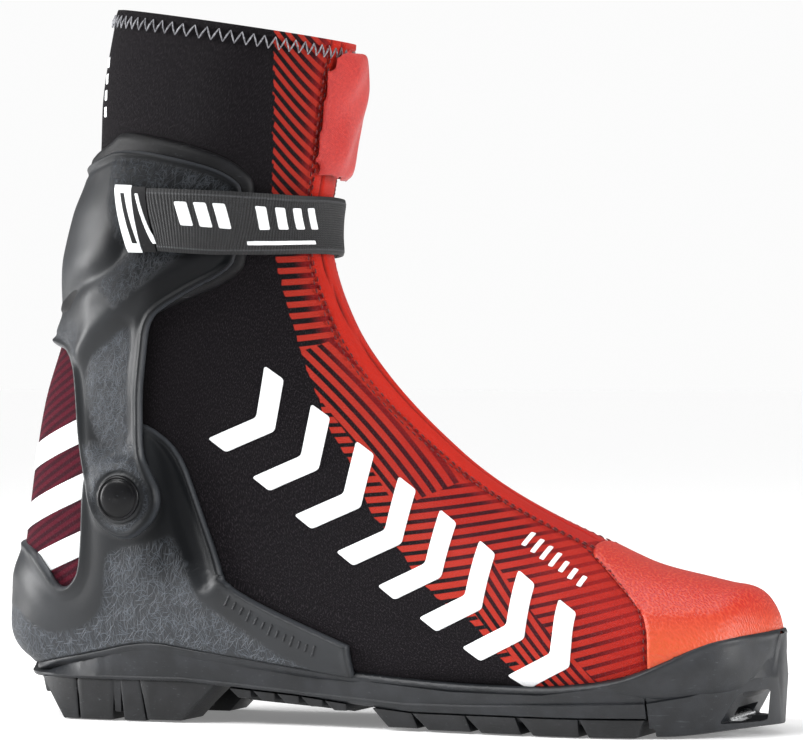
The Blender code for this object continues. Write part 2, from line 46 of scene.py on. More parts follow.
# The skin: front x, z; back x, z; half width outer, inner; widest place; front and back roundness.
SECTIONS = np.array((
    (146.5, 36, 146.5, 30, 4, 4, 0.50, 1.00, 1.00), (145, 42, 145.5, 22, 13, 13, 0.50, 0.95, 0.90),
    (141, 47.5, 142, 17, 23.5, 23, 0.55, 0.95, 0.80), (135, 51.5, 136, 14, 33, 32, 0.58, 0.95, 0.70),
    (122, 54.5, 124, 12, 42, 40, 0.60, 0.95, 0.62), (104, 58.5, 107, 11, 48.5, 46, 0.62, 0.98, 0.60),
    (83.5, 65.5, 85, 10, 51, 48, 0.64, 1.00, 0.60), (63.5, 74.5, 58, 10.5, 49.5, 46, 0.66, 1.05, 0.60),
    (46, 84, 27, 11.5, 46, 41, 0.68, 1.10, 0.60), (32, 93.5, -8, 14, 42.5, 37.5, 0.68, 1.12, 0.55),
    (19, 104.5, -48, 17, 40, 36.5, 0.66, 1.12, 0.50), (7.5, 115.5, -92, 18, 38.5, 36, 0.62, 1.10, 0.48),
    (-3, 127, -124, 19, 37.5, 35.5, 0.58, 1.05, 0.50), (-12, 139, -141.5, 27, 37, 35, 0.56, 1.00, 0.57),
    (-18.5, 151, -145, 44, 36.5, 35, 0.56, 0.97, 0.70), (-23.5, 163.5, -142, 66, 36.5, 35.5, 0.54, 0.95, 0.72),
    (-26.5, 176, -139, 90, 37, 36, 0.52, 0.95, 0.75), (-27, 188, -135, 116, 37.5, 36.5, 0.50, 0.95, 0.80),
    (-25.5, 199.5, -127, 143, 38, 37, 0.50, 0.95, 0.85), (-23.5, 212, -122.5, 170, 38, 37.5, 0.50, 0.95, 0.90),
    (-22, 225, -114.5, 200, 38, 37.5, 0.50, 0.95, 0.95), (-20, 237, -113, 230, 38, 37.5, 0.50, 0.95, 0.95),
    (-18.5, 245, -108.5, 255, 37.5, 37, 0.50, 0.95, 0.95), (-18, 249.5, -106, 263.5, 37, 36.5, 0.50, 0.95, 0.95),
))
COLLAR = len(SECTIONS) - 1.0

# Side outlines, x and z, of the pieces that lie on the skin.
SOLE_TOP = (
    (-160, 19), (-135, 19.5), (-110, 24), (-82, 30.3), (-59, 26.5), (-36, 23.5), (0, 18.5),
    (38, 15.7), (73, 15.6), (93, 18.4), (105, 21.4), (119, 27.8), (127, 32), (135, 35.2), (160, 38.5),
)
SOLE_LOW = ((-160, 14.5), (-68, 14.5), (-48, 13), (-23, 11), (-2, 8.5), (22, 6.5), (78, 6.5), (160, 7.0))
COUNTER_EDGE = (
    (-1, 30), (-35, 43.6), (-50, 51.4), (-53, 61), (-60, 77.5), (-69, 100), (-84, 110.5),
    (-97, 107), (-108, 92), (-108.6, 56), (-112.5, 49.5), (-117, 48.5), (-123, 55.5), (-131, 63), (-160, 70),
)
CUFF_EDGE = (
    (-82.6, 120), (-80.9, 134), (-79.7, 144), (-76.5, 149.5), (-62.6, 157.6), (-53, 162.4), (-48, 166.6),
    (-46.7, 171), (-43.2, 194.4), (-48.3, 199), (-55, 202.2), (-67, 205.4), (-82, 208.7), (-96, 209.5),
    (-104, 208), (-123, 203.5), (-170, 198), (-170, 142), (-121, 139), (-113, 131), (-111.2, 119),
    (-108.7, 99), (-104, 80), (-100.9, 73.4), (-95.5, 68.6), (-90, 66.5), (-85, 67.3), (-78, 73),
    (-75, 79), (-75.4, 85), (-79, 91.5), (-82.5, 98),
)
RIM_EDGE = (
    (-80, 148), (-72.8, 151.2), (-55.7, 158), (-49.6, 161.5), (-45.7, 165.2), (-44.5, 170.3), (-40.5, 195.4),
    (-42.8, 200), (-49, 204.8), (-57.7, 208.4), (-68.2, 211.6), (-93.5, 216.8), (-99.5, 212.8), (-117, 207),
    (-170, 200), (-170, 150),
)
TOE_SEAM = ((79.5, 90), (80, 66), (92, 58.6), (103, 50.1), (108.6, 44), (111.4, 36.5), (111.8, 24.9), (112, 10))
RED_EDGE = (
    (-33.5, 270), (-34.5, 240), (-35.5, 209), (-37, 190), (-37, 171), (-33, 154), (-28, 137), (-23, 125),
    (-15, 106), (-8, 99), (1, 81), (17, 64), (30, 50), (51, 38), (59, 27), (74, 17), (80, 0),
)
POCKET = (
    (-100, 139), (-105, 135), (-107.5, 128), (-107.5, 120), (-105.5, 110), (-102.5, 102), (-97, 97), (-91, 96),
    (-87, 98), (-86, 107), (-86.5, 126), (-84.5, 138), (-85, 146), (-90, 147),
)
COUNTER_GRAIN = (
    (-180, 40), (-138, 43), (-131, 36), (-121, 32), (-107, 35), (-100, 41), (-98.5, 49), (-98, 62), (-91, 64.5),
    (-80, 66), (-71, 70), (-66, 62), (-64, 55), (-60, 46), (-53, 41.5), (-42, 35), (-26, 25), (-2, 17), (-2, 0),
    (-180, 0),
)
FLANGE = (
    (-82, 107), (-70, 96.5), (-62, 77), (-55.5, 60), (-53.5, 51), (-59, 47), (-64, 56), (-67, 64), (-72, 76), (-76, 95),
)
HEEL_NOTCH = ((-104, 84), (-103, 56), (-108, 45), (-117, 43), (-126, 50), (-138, 60))
CUFF_LIP = ((-108, 136), (-104, 142), (-94, 150), (-80, 158), (-68, 165), (-58, 170))
CUFF_CREASE = ((-128, 150), (-119, 156), (-113, 159), (-101, 163), (-92, 168), (-88, 176))
CUFF_GRAIN = ((-96, 215), (-96, 190), (-92, 178), (-86, 171), (-100, 160), (-92, 152), (-40, 190), (-40, 215))
PIVOT_X, PIVOT_Z = -90.0, 82.0
CAP_SEAT = {1: 44.9, -1: 43.4}  # distance of the pivot cap's seat from the middle plane
PLAN = (
    (-144, 0), (-141, 15), (-132, 28), (-118, 34), (-90, 36), (-50, 36), (-10, 38), (30, 43.5), (65, 48),
    (85, 49), (104, 46.5), (122, 39.5), (136, 29), (146, 14), (149.3, 0),
)
INNER_SIDE_NARROWER = 0.9

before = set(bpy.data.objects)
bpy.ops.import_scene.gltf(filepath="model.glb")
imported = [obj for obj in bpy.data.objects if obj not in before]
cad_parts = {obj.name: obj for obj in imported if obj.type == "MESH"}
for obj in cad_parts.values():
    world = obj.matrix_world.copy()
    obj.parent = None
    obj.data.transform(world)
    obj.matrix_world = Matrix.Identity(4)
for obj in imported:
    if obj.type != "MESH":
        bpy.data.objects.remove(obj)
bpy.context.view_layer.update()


# ---------------------------------------------------------------- skin


def spline(table, t):
    """Catmull-Rom rows of a table at the places t, with its end rows repeated."""
    last = len(table) - 1
    low = np.clip(np.floor(t).astype(int), 0, last - 1)
    f = (t - low)[..., None]
    a, b, c, d = (table[np.clip(low + k, 0, last)] for k in (-1, 0, 1, 2))
    return b + ((c - a) * f + (2 * a - 5 * b + 4 * c - d) * f**2 + (3 * b - a - 3 * c + d) * f**3) / 2


def skin_point(station, angle):
    fx, fz, bx, bz, outer, inner, widest, front_round, back_round = np.moveaxis(spline(SECTIONS, station), -1, 0)
    c, s = np.cos(angle), np.sin(angle)
    power = np.where(c > 0, front_round, back_round)
    fall = np.abs(c) ** power
    along = np.where(c > 0, widest - widest * fall, widest + (1 - widest) * fall)
    y = -np.sign(s) * np.where(s > 0, outer, inner) * np.abs(s) ** power
    return np.stack([fx + (bx - fx) * along, y, fz + (bz - fz) * along], -1)


def skin_normal(station, angle):
    step = 2e-3
    along = skin_point(np.minimum(station + step, COLLAR), angle) - skin_point(np.maximum(station - step, 0), angle)
    around = skin_point(station, angle + step) - skin_point(station, angle - step)
    normal = np.cross(along, around)
    return normal / (np.linalg.norm(normal, axis=-1, keepdims=True) + 1e-12)


def skin(station, angle, offset=0.0):
    station, angle, offset = np.broadcast_arrays(*(np.asarray(v, float) for v in (station, angle, offset)))
    return skin_point(station, angle) + offset[..., None] * skin_normal(station, angle)


def station_at(z, angle):
    """Stations of the leg where the skin passes through heights z at these angles."""
    z, angle = np.broadcast_arrays(np.asarray(z, float), np.asarray(angle, float))
    low, high = np.full(z.shape, 11.0), np.full(z.shape, COLLAR)
    for _ in range(26):
        middle = (low + high) / 2
        below = skin_point(middle, angle)[..., 2] < z
        low, high = np.where(below, middle, low), np.where(below, high, middle)
    return low


def arc_table():
    """Millimetres round the skin from the front ridge, by tenth of a station and by degree, on either side."""
    stations, angles = np.linspace(0, COLLAR, 231)[:, None], np.radians(np.arange(181))[None, :]
    table = {}
    for side in (1, -1):
        run = np.linalg.norm(np.diff(skin_point(stations, side * angles), axis=1), axis=2).cumsum(1)
        table[side] = np.concatenate([np.zeros((231, 1)), run], 1)
    return table


def arc(station, degrees):
    """Millimetres round the skin from the front ridge to this angle, negative on the inner side."""
    row, column = np.clip(station, 0, COLLAR - 1e-6) * 10, np.clip(np.abs(degrees), 0, 179.99)
    i, j = row.astype(int), column.astype(int)
    f, g = row - i, column - j
    total = np.zeros(np.shape(row))
    for side, t in ARCS.items():
        run = (t[i, j] * (1 - f) + t[i + 1, j] * f) * (1 - g) + (t[i, j + 1] * (1 - f) + t[i + 1, j + 1] * f) * g
        total = np.where(np.sign(degrees) == side, side * run, total)
    return total


def place_at(x, z, side=1):
    """(station, angle) of the skin's point with this x and z, on the outer (1) or inner (-1) side."""
    table = PLACES[side]
    found = np.array([np.argmin((table[2] - a) ** 2 + (table[3] - b) ** 2) for a, b in zip(x, z)])
    return table[0][found], table[1][found]


def places(side):
    stations, angles = np.meshgrid(np.linspace(0, COLLAR, 700), np.radians(np.linspace(2, 178, 260)), indexing="ij")
    points = skin_point(stations, side * angles)
    return stations.ravel(), side * angles.ravel(), points[..., 0].ravel(), points[..., 2].ravel()


PLACES = {side: places(side) for side in (1, -1)}
ARCS = arc_table()


def side_width(x, z, side, offset):
    """Distance from the middle plane of the skin's point with this x and z."""
    station, angle = place_at([x], [z], side)
    return abs(float(skin(station, angle, offset)[0, 1]))


# ---------------------------------------------------------------- outlines and fields


def rounded(outline, times=3, closed=True):
    """An outline with its corners cut, so that it curves."""
    points = np.array(outline, float)
    for _ in range(times):
        nxt = np.roll(points, -1, 0) if closed else points[1:]
        here = points if closed else points[:-1]
        cut = np.stack([here * 0.78 + nxt * 0.22, here * 0.22 + nxt * 0.78], 1).reshape(-1, 2)
        points = cut if closed else np.vstack([points[:1], cut, points[-1:]])
    return points


def softened(outline, radius=1.0):
    """An outline whose corners alone are rounded."""
    points = np.array(outline, float)
    result = []
    for before, here, after in zip(np.roll(points, 1, 0), points, np.roll(points, -1, 0)):
        a = here + (before - here) * min(0.45, radius / np.linalg.norm(before - here))
        b = here + (after - here) * min(0.45, radius / np.linalg.norm(after - here))
        for t in (0, 0.33, 0.67, 1):
            result.append(a * (1 - t) ** 2 + here * 2 * t * (1 - t) + b * t * t)
    return np.array(result)


def to_line(x, z, line, closed=False):
    """Distance of each point from a line of points."""
    best = np.full(x.shape, 1e9)
    ends = np.roll(line, -1, 0) if closed else line[1:]
    for (ax, az), (bx, bz) in zip(line if closed else line[:-1], ends):
        dx, dz = bx - ax, bz - az
        t = np.clip(((x - ax) * dx + (z - az) * dz) / (dx * dx + dz * dz + 1e-12), 0, 1)
        best = np.minimum(best, (x - ax - t * dx) ** 2 + (z - az - t * dz) ** 2)
    return np.sqrt(best)


def inside(x, z, outline):
    """Signed distance from an outline: positive inside it."""
    odd = np.zeros(x.shape, bool)
    for (ax, az), (bx, bz) in zip(outline, np.roll(outline, -1, 0)):
        if az != bz:
            odd ^= ((az > z) != (bz > z)) & (x < ax + (bx - ax) * (z - az) / (bz - az))
    return to_line(x, z, outline, True) * np.where(odd, 1, -1)


def within(outline):
    """The field of one outline."""
    return lambda x, z, values: inside(x, z, outline)


def ease(value, low, high):
    t = np.clip((value - low) / (high - low), 0, 1)
    return t * t * (3 - 2 * t)


def hill(distance, width):
    return np.exp(-((distance / width) ** 2))


def arc_angles(stations, sides):
    """Angles that lie evenly round each section: sides run from -1 at the inner back to 1 at the outer back."""
    t = np.linspace(0, 1, 260)
    dense = math.pi * (t - 0.92 * np.sin(2 * math.pi * t) / (2 * math.pi))
    angles, lengths = np.zeros((len(stations), len(sides))), np.zeros((len(stations), len(sides)))
    for sign in (1, -1):
        mine = sides >= 0 if sign > 0 else sides < 0
        ring = skin_point(stations[:, None], sign * dense[None, :])
        run = np.concatenate([np.zeros((len(stations), 1)), np.linalg.norm(np.diff(ring, axis=1), axis=2).cumsum(1)], 1)
        for row in range(len(stations)):
            share = np.abs(sides[mine]) * run[row, -1]
            angles[row, mine] = sign * np.interp(share, run[row], dense)
            lengths[row, mine] = sign * share
    return angles, lengths


def grid(first, last, rows, columns, side_from=-1.0, side_to=1.0):
    """Triangles and per-point values over part of the skin."""
    stations, sides = np.linspace(first, last, rows), np.linspace(side_from, side_to, columns)
    angles, round_it = arc_angles(stations, sides)
    stations = np.repeat(stations[:, None], columns, 1)
    points = skin_point(stations, angles)
    up = np.concatenate([np.zeros((1, columns)), np.linalg.norm(np.diff(points, axis=0), axis=2).cumsum(0)])
    index = np.arange(rows * columns).reshape(rows, columns)
    a, b, c, d = index[:-1, :-1].ravel(), index[1:, :-1].ravel(), index[1:, 1:].ravel(), index[:-1, 1:].ravel()
    flip = (a + b) % 2 == 0
    one = np.where(flip[:, None], np.stack([a, b, c], 1), np.stack([a, b, d], 1))
    two = np.where(flip[:, None], np.stack([a, c, d], 1), np.stack([b, c, d], 1))
    values = {"u": stations.ravel(), "a": angles.ravel(), "round": round_it.ravel(), "up": up.ravel()}
    return values, np.vstack([one, two])


def split(values, faces, key, level):
    """The triangles split along values[key] == level, and the new values."""
    f = values[key]
    f[np.abs(f - level) < 0.03] = level
    side = np.sign(f - level)
    corner = side[faces]
    crossing = (corner.max(1) > 0) & (corner.min(1) < 0)
    kept, work = faces[~crossing], faces[crossing]
    if not len(work):
        return values, faces
    corner = corner[crossing]
    on = (corner == 0).any(1)
    lone = np.argmax(corner * -np.sign(corner.sum(1))[:, None] * 1.0 > 0, axis=1)
    lead = np.where(on, np.argmax(corner == 0, axis=1), lone)
    work = np.take_along_axis(work, (lead[:, None] + np.arange(3)) % 3, 1)
    v0, v1, v2 = work.T
    edges = np.concatenate([np.stack([v1, v2], 1)[on], np.stack([v0, v1], 1)[~on], np.stack([v0, v2], 1)[~on]])
    edges, back = np.unique(np.sort(edges, 1), axis=0, return_inverse=True)
    back = back.reshape(-1) + len(f)
    lo, hi = f[edges[:, 0]], f[edges[:, 1]]
    t = (level - lo) / (hi - lo)
    fresh = {k: np.concatenate([v, v[edges[:, 0]] * (1 - t) + v[edges[:, 1]] * t]) for k, v in values.items()}
    fresh[key][len(f):] = level
    n_on, n_off = on.sum(), (~on).sum()
    m = back[:n_on]
    m1, m2 = back[n_on:n_on + n_off], back[n_on + n_off:]
    w0, w1, w2 = v0[on], v1[on], v2[on]
    x0, x1, x2 = v0[~on], v1[~on], v2[~on]
    made = [(w0, w1, m), (w0, m, w2), (x0, m1, m2), (m1, x1, x2), (m1, x2, m2)]
    return fresh, np.vstack([kept] + [np.stack(part, 1) for part in made])


def compact(values, faces):
    used, back = np.unique(faces, return_inverse=True)
    return {k: v[used] for k, v in values.items()}, back.reshape(faces.shape)


# ---------------------------------------------------------------- meshes


def new_object(name, points, faces, mats, uvs=None, attributes=None, face_mats=None, smooth=True, weld=0.02):
    """A mesh object from points in millimetres."""
    mesh = bpy.data.meshes.new(name)
    mesh.from_pydata((np.asarray(points, float) * MM).tolist(), [], [tuple(map(int, f)) for f in faces])
    corners = np.zeros(len(mesh.loops), np.int32)
    mesh.loops.foreach_get("vertex_index", corners)
    for key, uv in (uvs or {}).items():
        mesh.uv_layers.new(name=key).data.foreach_set("uv", (uv[corners] / UV_MM).astype(np.float32).ravel())
    for key, value in (attributes or {}).items():
        mesh.attributes.new(key, "FLOAT", "POINT").data.foreach_set("value", np.asarray(value, np.float32))
    for mat in mats if isinstance(mats, (list, tuple)) else [mats]:
        mesh.materials.append(mat)
    if face_mats is not None:
        mesh.polygons.foreach_set("material_index", np.asarray(face_mats, np.int32))
    if smooth:
        mesh.shade_smooth()
    obj = bpy.data.objects.new(name, mesh)
    bpy.context.scene.collection.objects.link(obj)
    if weld:
        modifier = obj.modifiers.new("weld", "WELD")
        modifier.merge_threshold = weld * MM
        apply_modifiers(obj)
    return obj


def apply_modifiers(obj):
    graph = bpy.context.evaluated_depsgraph_get()
    mesh = bpy.data.meshes.new_from_object(obj.evaluated_get(graph))
    obj.modifiers.clear()
    obj.data = mesh


def bevelled(obj, width, segments=2, angle=30):
    modifier = obj.modifiers.new("bevel", "BEVEL")
    modifier.width = width * MM
    modifier.segments = segments
    modifier.angle_limit = math.radians(angle)
    modifier.harden_normals = False
    apply_modifiers(obj)
    obj.data.shade_smooth()
    obj.data.set_sharp_from_angle(angle=math.radians(40))
    return obj


def uv_maps(values, points):
    return {
        "cloth": np.stack([values["round"], values["up"]], 1),
        "side": np.stack([points[:, 0], points[:, 2]], 1),
    }


def shell(name, area, field, layer, radius, mat, relief=None, attributes=None, steps=(0.0, 0.1, 0.32, 0.66, 1.0),
          follow=None):
    """A closed piece that lies on the skin. area is grid()'s arguments, field gives the signed distance from
    the piece's outline, and layer is its inner and outer offset. Its edge is rounded over radius, in these
    steps. relief raises its outer face, and follow shifts the whole piece."""
    values, faces = grid(*area)
    x, _, z = skin(values["u"], values["a"], layer[1]).T
    values["edge"] = field(x, z, values)
    for share in steps:
        values, faces = split(values, faces, "edge", share * radius)
    faces = faces[values["edge"][faces].min(1) > -0.01]
    values, faces = compact(values, faces)
    t = np.clip(values["edge"] / radius, 0, 1)
    swell = np.sqrt(np.clip(1 - (1 - t) ** 2, 0, 1))
    base = skin(values["u"], values["a"], layer[1])
    extra = relief(base[:, 0], base[:, 2], values) if relief else 0.0
    shift = follow(base[:, 0], base[:, 2], values) if follow else np.zeros(len(t))
    high = layer[0] + shift + (layer[1] - layer[0] + extra) * swell
    outer = skin(values["u"], values["a"], high)
    rim = values["edge"] < 0.01
    inner_index = np.where(rim, np.arange(len(t)), len(t) + np.cumsum(~rim) - 1)
    points = np.vstack([outer, skin(values["u"], values["a"], layer[0] + shift)[~rim]])
    double = {k: np.concatenate([v, v[~rim]]) for k, v in values.items()}
    extras = {k: f(points[:, 0], points[:, 2], double) for k, f in (attributes or {}).items()}
    extras["edge"] = double["edge"]
    everything = np.vstack([faces, inner_index[faces][:, ::-1]])
    return new_object(name, points, everything, mat, uv_maps(double, points), extras)


TUBE_SIDES = 6
TUBE_TIP = 0.55  # a tube's radius at its ends, as a share of its own


def tubes(lines, radius):
    """Points and faces of capped tubes along lines of points, all in one mesh."""
    points, faces = [], []
    for line in lines:
        line = np.asarray(line, float)
        tangent = np.gradient(line, axis=0)
        tangent /= np.linalg.norm(tangent, axis=1, keepdims=True) + 1e-9
        up = np.array([0.0, 0.0, 1.0]) if abs(tangent[:, 2]).mean() < 0.8 else np.array([0.0, 1.0, 0.0])
        across = np.cross(tangent, up)
        across /= np.linalg.norm(across, axis=1, keepdims=True) + 1e-9
        other = np.cross(tangent, across)
        start = len(points)
        for k in range(len(line)):
            thick = radius * (TUBE_TIP if k in (0, len(line) - 1) else 1.0)
            for side in range(TUBE_SIDES):
                w = 2 * math.pi * side / TUBE_SIDES
                points.append(line[k] + thick * (math.cos(w) * across[k] + math.sin(w) * other[k]))
        for k in range(len(line) - 1):
            for side in range(TUBE_SIDES):
                nxt = (side + 1) % TUBE_SIDES
                a, b = start + k * TUBE_SIDES, start + (k + 1) * TUBE_SIDES
                faces.append((a + side, b + side, b + nxt, a + nxt))
        faces.append(tuple(start + side for side in range(TUBE_SIDES)))
        faces.append(tuple(start + (len(line) - 1) * TUBE_SIDES + side for side in reversed(range(TUBE_SIDES))))
    return np.array(points), faces


def resample(stations, angles, spacing, offset=0.0):
    """(station, angle) places at even spacing along a line on the skin."""
    control = np.stack([stations, angles], 1)
    t = np.linspace(0, len(control) - 1, 60 * len(control))
    fine = spline(control, t)
    points = skin(fine[:, 0], fine[:, 1], offset)
    run = np.concatenate([[0], np.linalg.norm(np.diff(points, axis=0), axis=1).cumsum()])
    wanted = np.arange(0, run[-1], spacing)
    return np.interp(wanted, run, fine[:, 0]), np.interp(wanted, run, fine[:, 1])


STITCH, STITCH_GAP = 2.3, 0.8
STITCH_ARCH = np.array((-0.15, 0.12, 0.18, 0.12))  # how far a stitch stands above the cloth, along its length


def stitches(name, lines, offset, mat, radius=0.27):
    """Running stitches along lines of (station, angle) on the skin."""
    runs, taken, step = [], len(STITCH_ARCH), len(STITCH_ARCH) + 1
    for stations, angles in lines:
        u, a = resample(np.array(stations, float), np.array(angles, float), (STITCH + STITCH_GAP) / step, offset)
        for k in range(0, len(u) - taken, step):
            runs.append(skin(u[k:k + taken], a[k:k + taken], offset + STITCH_ARCH))
    points, faces = tubes(runs, radius)
    return new_object(name, points, faces, mat, weld=0)


def side_line(line, side=1, count=40):
    """(stations, angles) of a line given by x and z in the side view."""
    line = rounded(line, 2, closed=False)
    run = np.concatenate([[0], np.linalg.norm(np.diff(line, axis=0), axis=1).cumsum()])
    wanted = np.linspace(0, run[-1], count)
    return place_at(np.interp(wanted, run, line[:, 0]), np.interp(wanted, run, line[:, 1]), side)


def lathe(name, profile, x, z, side, mat, columns=72):
    """A piece turned about an axis across the boot, from (radius, distance from the middle plane)."""
    turn = np.linspace(0, 2 * math.pi, columns, endpoint=False)
    points = [(x, side * profile[0][1], z)]
    for radius, distance in profile[1:-1]:
        points += [(x + radius * math.cos(w), side * distance, z + radius * math.sin(w)) for w in turn]
    points.append((x, side * profile[-1][1], z))
    faces, rings, order = [], len(profile) - 2, side
    for k in range(columns):
        n = (k + 1) % columns
        faces.append((0, 1 + n, 1 + k)[::order])
        last = 1 + (rings - 1) * columns
        faces.append((len(points) - 1, last + k, last + n)[::order])
        for ring in range(rings - 1):
            a, b = 1 + ring * columns, 1 + (ring + 1) * columns
            faces.append((a + k, a + n, b + n, b + k)[::order])
    obj = new_object(name, points, faces, mat, weld=0)
    obj.data.set_sharp_from_angle(angle=math.radians(50))
    return obj


def lofted(name, rings, mat, bevel=0.0):
    """A closed piece through rings of the same number of points, capped at both ends."""
    count = len(rings[0])
    points = [p for ring in rings for p in ring]
    faces = []
    for r in range(len(rings) - 1):
        for k in range(count):
            n = (k + 1) % count
            faces.append((r * count + k, (r + 1) * count + k, (r + 1) * count + n, r * count + n))
    faces.append(tuple(range(count)))
    faces.append(tuple((len(rings) - 1) * count + k for k in reversed(range(count))))
    obj = new_object(name, points, faces, mat)
    fix_normals(obj)
    if bevel:
        bevelled(obj, bevel)
    return obj


def two_sided(rows, columns):
    """Faces of a closed sheet of rows by columns points in front and as many behind."""
    index, back, faces = np.arange(rows * columns).reshape(rows, columns), rows * columns, []
    for i in range(rows - 1):
        for j in range(columns - 1):
            a, b, c, d = index[i, j], index[i + 1, j], index[i + 1, j + 1], index[i, j + 1]
            faces += [(a, b, c, d), (back + d, back + c, back + b, back + a)]
    border = [*index[0, :], *index[1:, -1], *index[-1, -2::-1], *index[-2:0:-1, 0]]
    for here, nxt in zip(border, border[1:] + border[:1]):
        faces.append((here, nxt, back + nxt, back + here))
    return faces


def fix_normals(obj):
    """Faces turned outwards."""
    bm = bmesh.new()
    bm.from_mesh(obj.data)
    bmesh.ops.recalc_face_normals(bm, faces=bm.faces)
    bm.to_mesh(obj.data)
    bm.free()


def put(obj, body, slot, *replaced):
    """The piece rides on a body; when body is a pair, its transform is only baked and it is left unparented."""
    if replaced:
        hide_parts(*replaced)
    if isinstance(body, tuple):
        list(body)
        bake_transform(obj)
        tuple(BEND_START)
        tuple(BEND_END)
    else:
        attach(obj, body)
    return obj


# ---------------------------------------------------------------- materials


def rgb(code):
    """Linear colour of a hex code."""
    parts = [int(code[k:k + 2], 16) / 255 for k in (0, 2, 4)]
    return [p / 12.92 if p <= 0.04045 else ((p + 0.055) / 1.055) ** 2.4 for p in parts] + [1.0]


class Shader:
    """A Principled material put together from small node expressions."""

    def __init__(self, name, roughness=0.5, **inputs):
        self.mat = bpy.data.materials.new(name)
        self.mat.use_nodes = True
        self.tree = self.mat.node_tree
        self.shader = self.tree.nodes["Principled BSDF"]
        self.shader.inputs["Roughness"].default_value = roughness
        for key, value in inputs.items():
            self.shader.inputs[key.replace("_", " ")].default_value = value

    def put(self, value, socket):
        if isinstance(value, bpy.types.NodeSocket):
            self.tree.links.new(value, socket)
        elif value is not None:
            socket.default_value = value

    def node(self, kind, **settings):
        node = self.tree.nodes.new("ShaderNode" + kind)
        for key, value in settings.items():
            setattr(node, key, value)
        return node

    def math(self, operation, *values, clamp=False):
        node = self.node("Math", operation=operation, use_clamp=clamp)
        for value, socket in zip(values, node.inputs):
            self.put(value, socket)
        return node.outputs[0]

    def add(self, *values):
        total = values[0]
        for value in values[1:]:
            total = self.math("ADD", total, value)
        return total

    def mul(self, *values):
        total = values[0]
        for value in values[1:]:
            total = self.math("MULTIPLY", total, value)
        return total

    def flip(self, value):
        return self.math("SUBTRACT", 1.0, value)

    def mix(self, a, b, share):
        """A mix of two values."""
        return self.add(self.mul(a, self.flip(share)), self.mul(b, share))

    def add_vectors(self, vector, other):
        both = self.node("VectorMath", operation="ADD")
        self.put(vector, both.inputs[0])
        self.put(other, both.inputs[1])
        return both.outputs[0]

    def attribute(self, name):
        return self.node("Attribute", attribute_name=name).outputs["Fac"]

    def place(self, layer):
        """(vector, first, second) of a UV map in millimetres."""
        node = self.node("UVMap", uv_map=layer)
        scale = self.node("VectorMath", operation="SCALE")
        self.put(node.outputs[0], scale.inputs[0])
        scale.inputs["Scale"].default_value = UV_MM
        parts = self.node("SeparateXYZ")
        self.put(scale.outputs[0], parts.inputs[0])
        return scale.outputs[0], parts.outputs[0], parts.outputs[1]

    def solid(self):
        """Position in the object in millimetres."""
        scale = self.node("VectorMath", operation="SCALE")
        self.put(self.node("TexCoord").outputs["Object"], scale.inputs[0])
        scale.inputs["Scale"].default_value = 1000.0
        return scale.outputs[0]

    def turned(self, vector, degrees, scale):
        node = self.node("Mapping", vector_type="TEXTURE")
        self.put(vector, node.inputs["Vector"])
        node.inputs["Rotation"].default_value = (0, 0, math.radians(degrees))
        node.inputs["Scale"].default_value = [1 / part for part in scale]
        return node.outputs[0]

    def noise(self, vector, scale, detail=2.0, roughness=0.55):
        node = self.node("TexNoise")
        self.put(vector, node.inputs["Vector"])
        node.inputs["Scale"].default_value = scale
        node.inputs["Detail"].default_value = detail
        node.inputs["Roughness"].default_value = roughness
        return node.outputs["Fac"]

    def cells(self, vector, scale):
        """Distance from the middle of the nearest cell."""
        node = self.node("TexVoronoi", voronoi_dimensions="2D")
        self.put(vector, node.inputs["Vector"])
        node.inputs["Scale"].default_value = scale
        return node.outputs["Distance"]

    def ease(self, value, low, high):
        node = self.node("MapRange", interpolation_type="SMOOTHSTEP")
        self.put(value, node.inputs["Value"])
        node.inputs["From Min"].default_value = low
        node.inputs["From Max"].default_value = high
        return node.outputs[0]

    def fade(self, value, low, high):
        """1 below low and 0 above high."""
        return self.ease(self.mul(value, -1.0), -high, -low)

    def blend(self, share, a, b):
        node = self.node("Mix", data_type="RGBA")
        self.put(share, node.inputs["Factor"])
        self.put(a, node.inputs["A"])
        self.put(b, node.inputs["B"])
        return node.outputs["Result"]

    def stripes(self, across, pitch, share, soft=0.35):
        """1 inside stripes that repeat every pitch and take up this share of it."""
        fold = self.math("PINGPONG", across, pitch / 2)
        edge = pitch / 2 * share
        return self.flip(self.ease(fold, edge - soft / 2, edge + soft / 2))

    def line_at(self, x, z, degrees, bow=0.0):
        """Distance across lines that run at this slope in the side view."""
        w = math.radians(degrees)
        across = self.add(self.mul(x, -math.sin(w)), self.mul(z, math.cos(w)))
        return self.add(across, self.mul(x, x, bow)) if bow else across

    def colour(self, value):
        self.put(value, self.shader.inputs["Base Color"])
        return self

    def rough(self, value):
        self.put(value, self.shader.inputs["Roughness"])
        return self

    def bump(self, height, distance, strength=1.0):
        """Height in millimetres."""
        node = self.node("Bump")
        node.inputs["Strength"].default_value = strength
        node.inputs["Distance"].default_value = distance * MM
        self.put(height, node.inputs["Height"])
        self.put(node.outputs[0], self.shader.inputs["Normal"])
        return self


def knit(s, vector, x, y, size=0.55):
    """Height of a fine twill: crossed ribs with a little disorder."""
    wobble = s.mul(s.noise(vector, 0.35, 1), 1.2)
    one = s.math("SINE", s.mul(s.add(x, y, wobble), 2 * math.pi / size))
    two = s.math("SINE", s.mul(s.add(x, s.mul(y, -1.0), wobble), 2 * math.pi / (size * 1.3)))
    return s.add(s.mul(one, 0.25), s.mul(two, 0.2), s.mul(s.noise(vector, 2.2, 2), 0.6))


